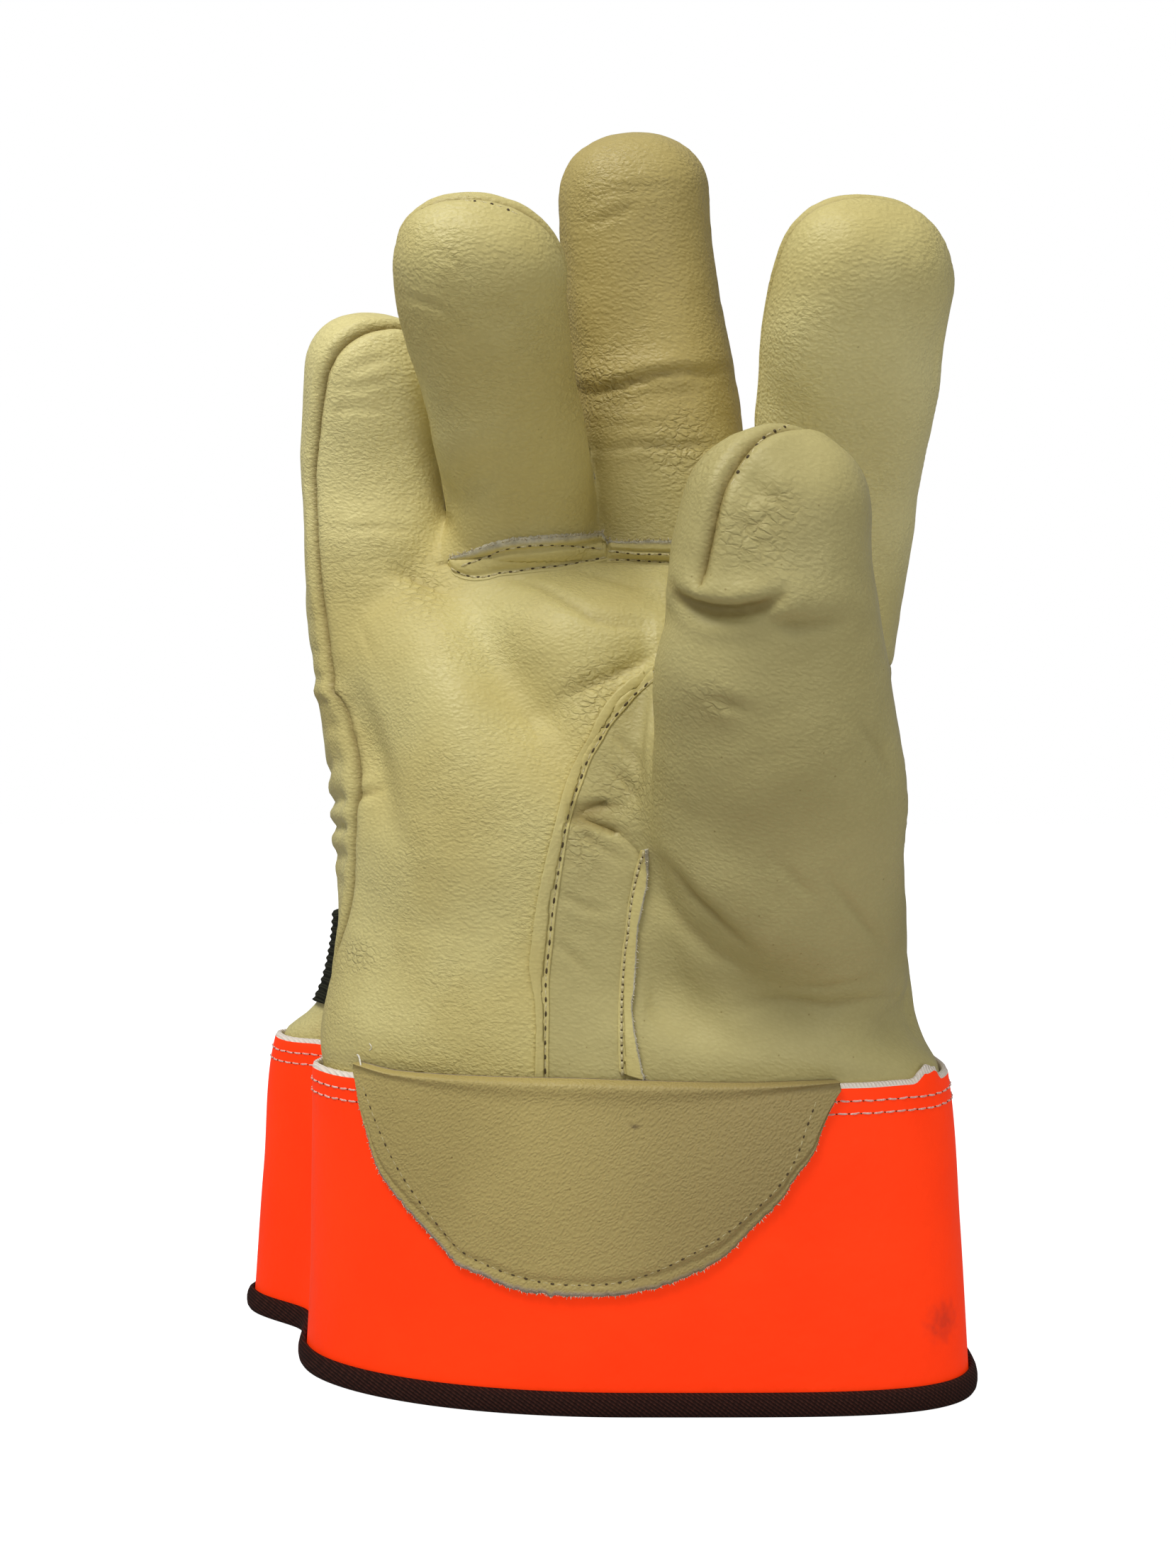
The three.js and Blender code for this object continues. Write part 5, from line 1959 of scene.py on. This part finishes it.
def make_cuff():
    """The vinyl wall, coated outside, with its pale cloth backing along the cut top edge and inside."""
    outside = [(height, 0.0) for height in np.arange(CUFF_SEAT, CUFF_TOP - COAT_STEP, COAT_STEP)]
    coat_edge = [(CUFF_TOP - COAT_EDGE, 0.0)]
    cut_edge = [
        (CUFF_TOP - 0.8, -0.12),
        (CUFF_TOP - 0.15, -0.3),
        (CUFF_TOP, -0.6),
        (CUFF_TOP, -VINYL + 0.35),
        (CUFF_TOP - 0.25, -VINYL + 0.05),
    ]
    inside = [(height, -VINYL) for height in np.linspace(CUFF_TOP - 1.5, CUFF_SEAT, 16)]
    profile = outside + coat_edge + cut_edge + inside
    turns = bunched_turns(CUFF_SIDES)
    mesh = new_mesh("cuff", cuff_waver(band_points(profile, turns)), band_faces(len(profile), len(turns)))
    set_materials(mesh, np.tile(np.arange(len(profile)) >= len(outside), len(turns)))
    add_piece("cuff", mesh, [cuff_vinyl, cuff_backing], "vinyl", "cuff")


def make_binding():
    """Tape folded over the cuff's lower edge, rounded by its stuffing and flat where it stands."""
    slot = [(CUFF_SEAT - 0.3, -1.5), (CUFF_SEAT - 0.3, 0.1)]
    profile = BINDING_OUTSIDE + BINDING_INSIDE + slot
    turns = bunched_turns(CUFF_SIDES)
    mesh = new_mesh("cuff_binding", band_points(profile, turns), band_faces(len(profile), len(turns)))
    add_piece("cuff_binding", mesh, [binding_tape], "binding", "cuff_binding")


def make_strap():
    """Ribbed webbing round the back of the wrist."""
    ribs = np.arange(STRAP_LOW, STRAP_HIGH + 0.01, RIB_STEP)
    outer = STRAP_THICKNESS + RIB_DEPTH * np.cos(2 * np.pi * (ribs - STRAP_LOW) / RIB_PITCH)
    outer[[0, -1]] = STRAP_EDGE
    heights = np.append(ribs, [STRAP_HIGH, STRAP_LOW])
    outwards = np.append(outer, [-STRAP_UNDER, -STRAP_UNDER])
    rings = level_rings(heights, np.linspace(*STRAP_TURNS, 240), -outwards[:, None])
    points, quads, triangles = closed_stack(rings.transpose(1, 0, 2))
    mesh = new_mesh("wrist_strap", points, outward_faces(points, quads, triangles))
    add_piece("wrist_strap", mesh, [strap_webbing], "webbing", "wrist_strap")


def patch_height(along, share):
    """Rolled over along its top edge, full below it, thinned and pulled down near its stitched raw edge."""
    roll_at = 0.03
    rolled = 1.7 * math.sqrt(max(0.0, 1 - (1 - min(share / roll_at, 1.0)) ** 2))
    roll = 0.8 * bell(share - roll_at, 0.05)
    full = 0.7 * np.clip(4 * share * (1 - share), 0, 1) * smooth_step(min(along, 1 - along), 0, 0.25)
    pulled = 0.5 * bell(share - 0.94, 0.022)
    return 0.15 + rolled + roll + full - pulled - 0.5 * smooth_step(share, 0.95, 1.0)


def cuff_row(depth, count=420):
    """A level line round the cuff, this far below its top edge."""
    turns = np.linspace(0.0, 0.9995, count)
    places, further = (level_rings([CUFF_TOP - depth], turns, -out)[0] for out in (0.08, 1.08))
    return cuff_waver(places), further - places


make_cuff()
make_binding()
make_strap()
patch = laid_sheet(
    cuff_tree, PATCH_TOP_EDGE, PATCH_RAW_EDGE, 280, 76, patch_height,
    ragged=0.012, seed=5.0, rawness=45, flare=0.014,
)
patch_tree = sewn_sheet("palm_patch", *patch, patch_leather, "patch_leather")
fibres("patch", patch[0], "patch_leather", length=0.7, spacing=0.45, seed=5)
sewn_row("patch", [laid_line(patch_tree, PATCH_ROW, 260)],
         pitch=2.7, thread=0.3, rise=0.15, hole=(0.75, 0.4), seed=5)
sewn_row("cuff_top", [cuff_row(3.5), cuff_row(6.0)],
         pitch=2.6, thread=0.42, rise=0.45, length=0.78, hole=(0.5, 0.3), seed=6, material=cuff_thread)


# Loose thread ends

def thread_end(name, places, outwards, thickness=0.4):
    """A bit of thread along a line of places, all with the same direction outwards."""
    beside = np.cross(unit(np.gradient(places, axis=0)), outwards)
    angle = 2 * np.pi * np.arange(8) / 8
    ring = np.cos(angle)[None, :, None] * beside[:, None] + np.sin(angle)[None, :, None] * outwards
    points, quads, triangles = closed_stack(places[:, None] + thickness / 2 * ring)
    mesh = new_mesh(name, points, outward_faces(points, quads, triangles))
    add_piece(name, mesh, [pale_thread], "thread")


def arched(start, end, outwards, rise, bow=0.0, count=14):
    """Places from start to end that rise off the surface on the way, and bow to the right."""
    share = np.linspace(0, 1, count)[:, None]
    swing = np.sin(np.pi * share)
    return start + (end - start) * share + swing * (rise * outwards + [bow, 0, 0])


corner_start, _ = seen_place(hand_tree, (504, 1488))
corner_end, corner_outwards = seen_place(patch_tree, (509, 1503))
thread_end("patch_corner_thread", arched(corner_start, corner_end, corner_outwards, 0.6), corner_outwards)
curl_start, curl_outwards = seen_place(hand_tree, (521, 1472))
curl_end, _ = seen_place(hand_tree, (521, 1482))
thread_end("curled_thread", arched(curl_start, curl_end, curl_outwards, 0.4, 0.7), curl_outwards, 0.2)


# Light, floor and background

def area_light(name, place, target, size, power):
    light = bpy.data.lights.new(name, "AREA")
    light.shape = "DISK"
    light.size = size
    light.energy = power
    lamp = new_object(name, light)
    lamp.location = place
    lamp.rotation_euler = (Vector(target) - Vector(place)).to_track_quat("-Z", "Y").to_euler()


def seen_by_camera(tree):
    return node_in(tree, "ShaderNodeLightPath").outputs["Is Camera Ray"]


def studio_world(above, level, below):
    """White behind the glove. As light it is brighter from above than from the sides and below."""
    world = bpy.data.worlds.new("studio")
    bpy.context.scene.world = world
    world.use_nodes = True
    tree = world.node_tree
    tree.nodes.clear()
    way = node_in(tree, "ShaderNodeTexCoord").outputs["Generated"]
    height = node_in(tree, "ShaderNodeSeparateXYZ", {0: way}).outputs[2]
    upper = remap(tree, height, 0.0, 0.9, level, above)
    lower = remap(tree, height, -0.4, 0.0, below - level, 0.0)
    strength = blend_number(tree, seen_by_camera(tree), plus(tree, upper, lower), 1.0)
    shine = made_by(tree, "ShaderNodeBackground", {"Color": (1.0, 1.0, 1.0, 1), "Strength": strength})
    node_in(tree, "ShaderNodeOutputWorld", {0: shine})


def white_floor(reach=4.0, seen_grey=0.6, bounced_grey=0.45):
    """White paper: bright to the camera, with a soft shadow, and duller as a source of bounced light."""
    mesh = bpy.data.meshes.new("floor")
    corners = [(-reach, -reach, 0), (reach, -reach, 0), (reach, reach, 0), (-reach, reach, 0)]
    mesh.from_pydata(corners, [], [(0, 1, 2, 3)])
    material, tree, shader = new_material("white_paper", 0.9, 0.0, **{"Emission Strength": 0.95})
    seen = seen_by_camera(tree)
    feed(tree, shader, {
        "Base Color": blend_colour(tree, seen, (bounced_grey,) * 3, (seen_grey,) * 3),
        "Emission Color": blend_colour(tree, seen, (0, 0, 0), (1, 1, 1)),
    })
    mesh.materials.append(material)
    new_object("floor", mesh)


area_light("overhead", (-0.27, -0.44, 0.85), (0, 0, 0.12), 0.4, 5.5)
area_light("front", (0.35, -0.85, 0.06), (0.03, 0, 0.18), 0.5, 1.9)
studio_world(0.35, 0.29, 0.3)
white_floor()
bpy.context.scene.view_settings.view_transform = "Standard"
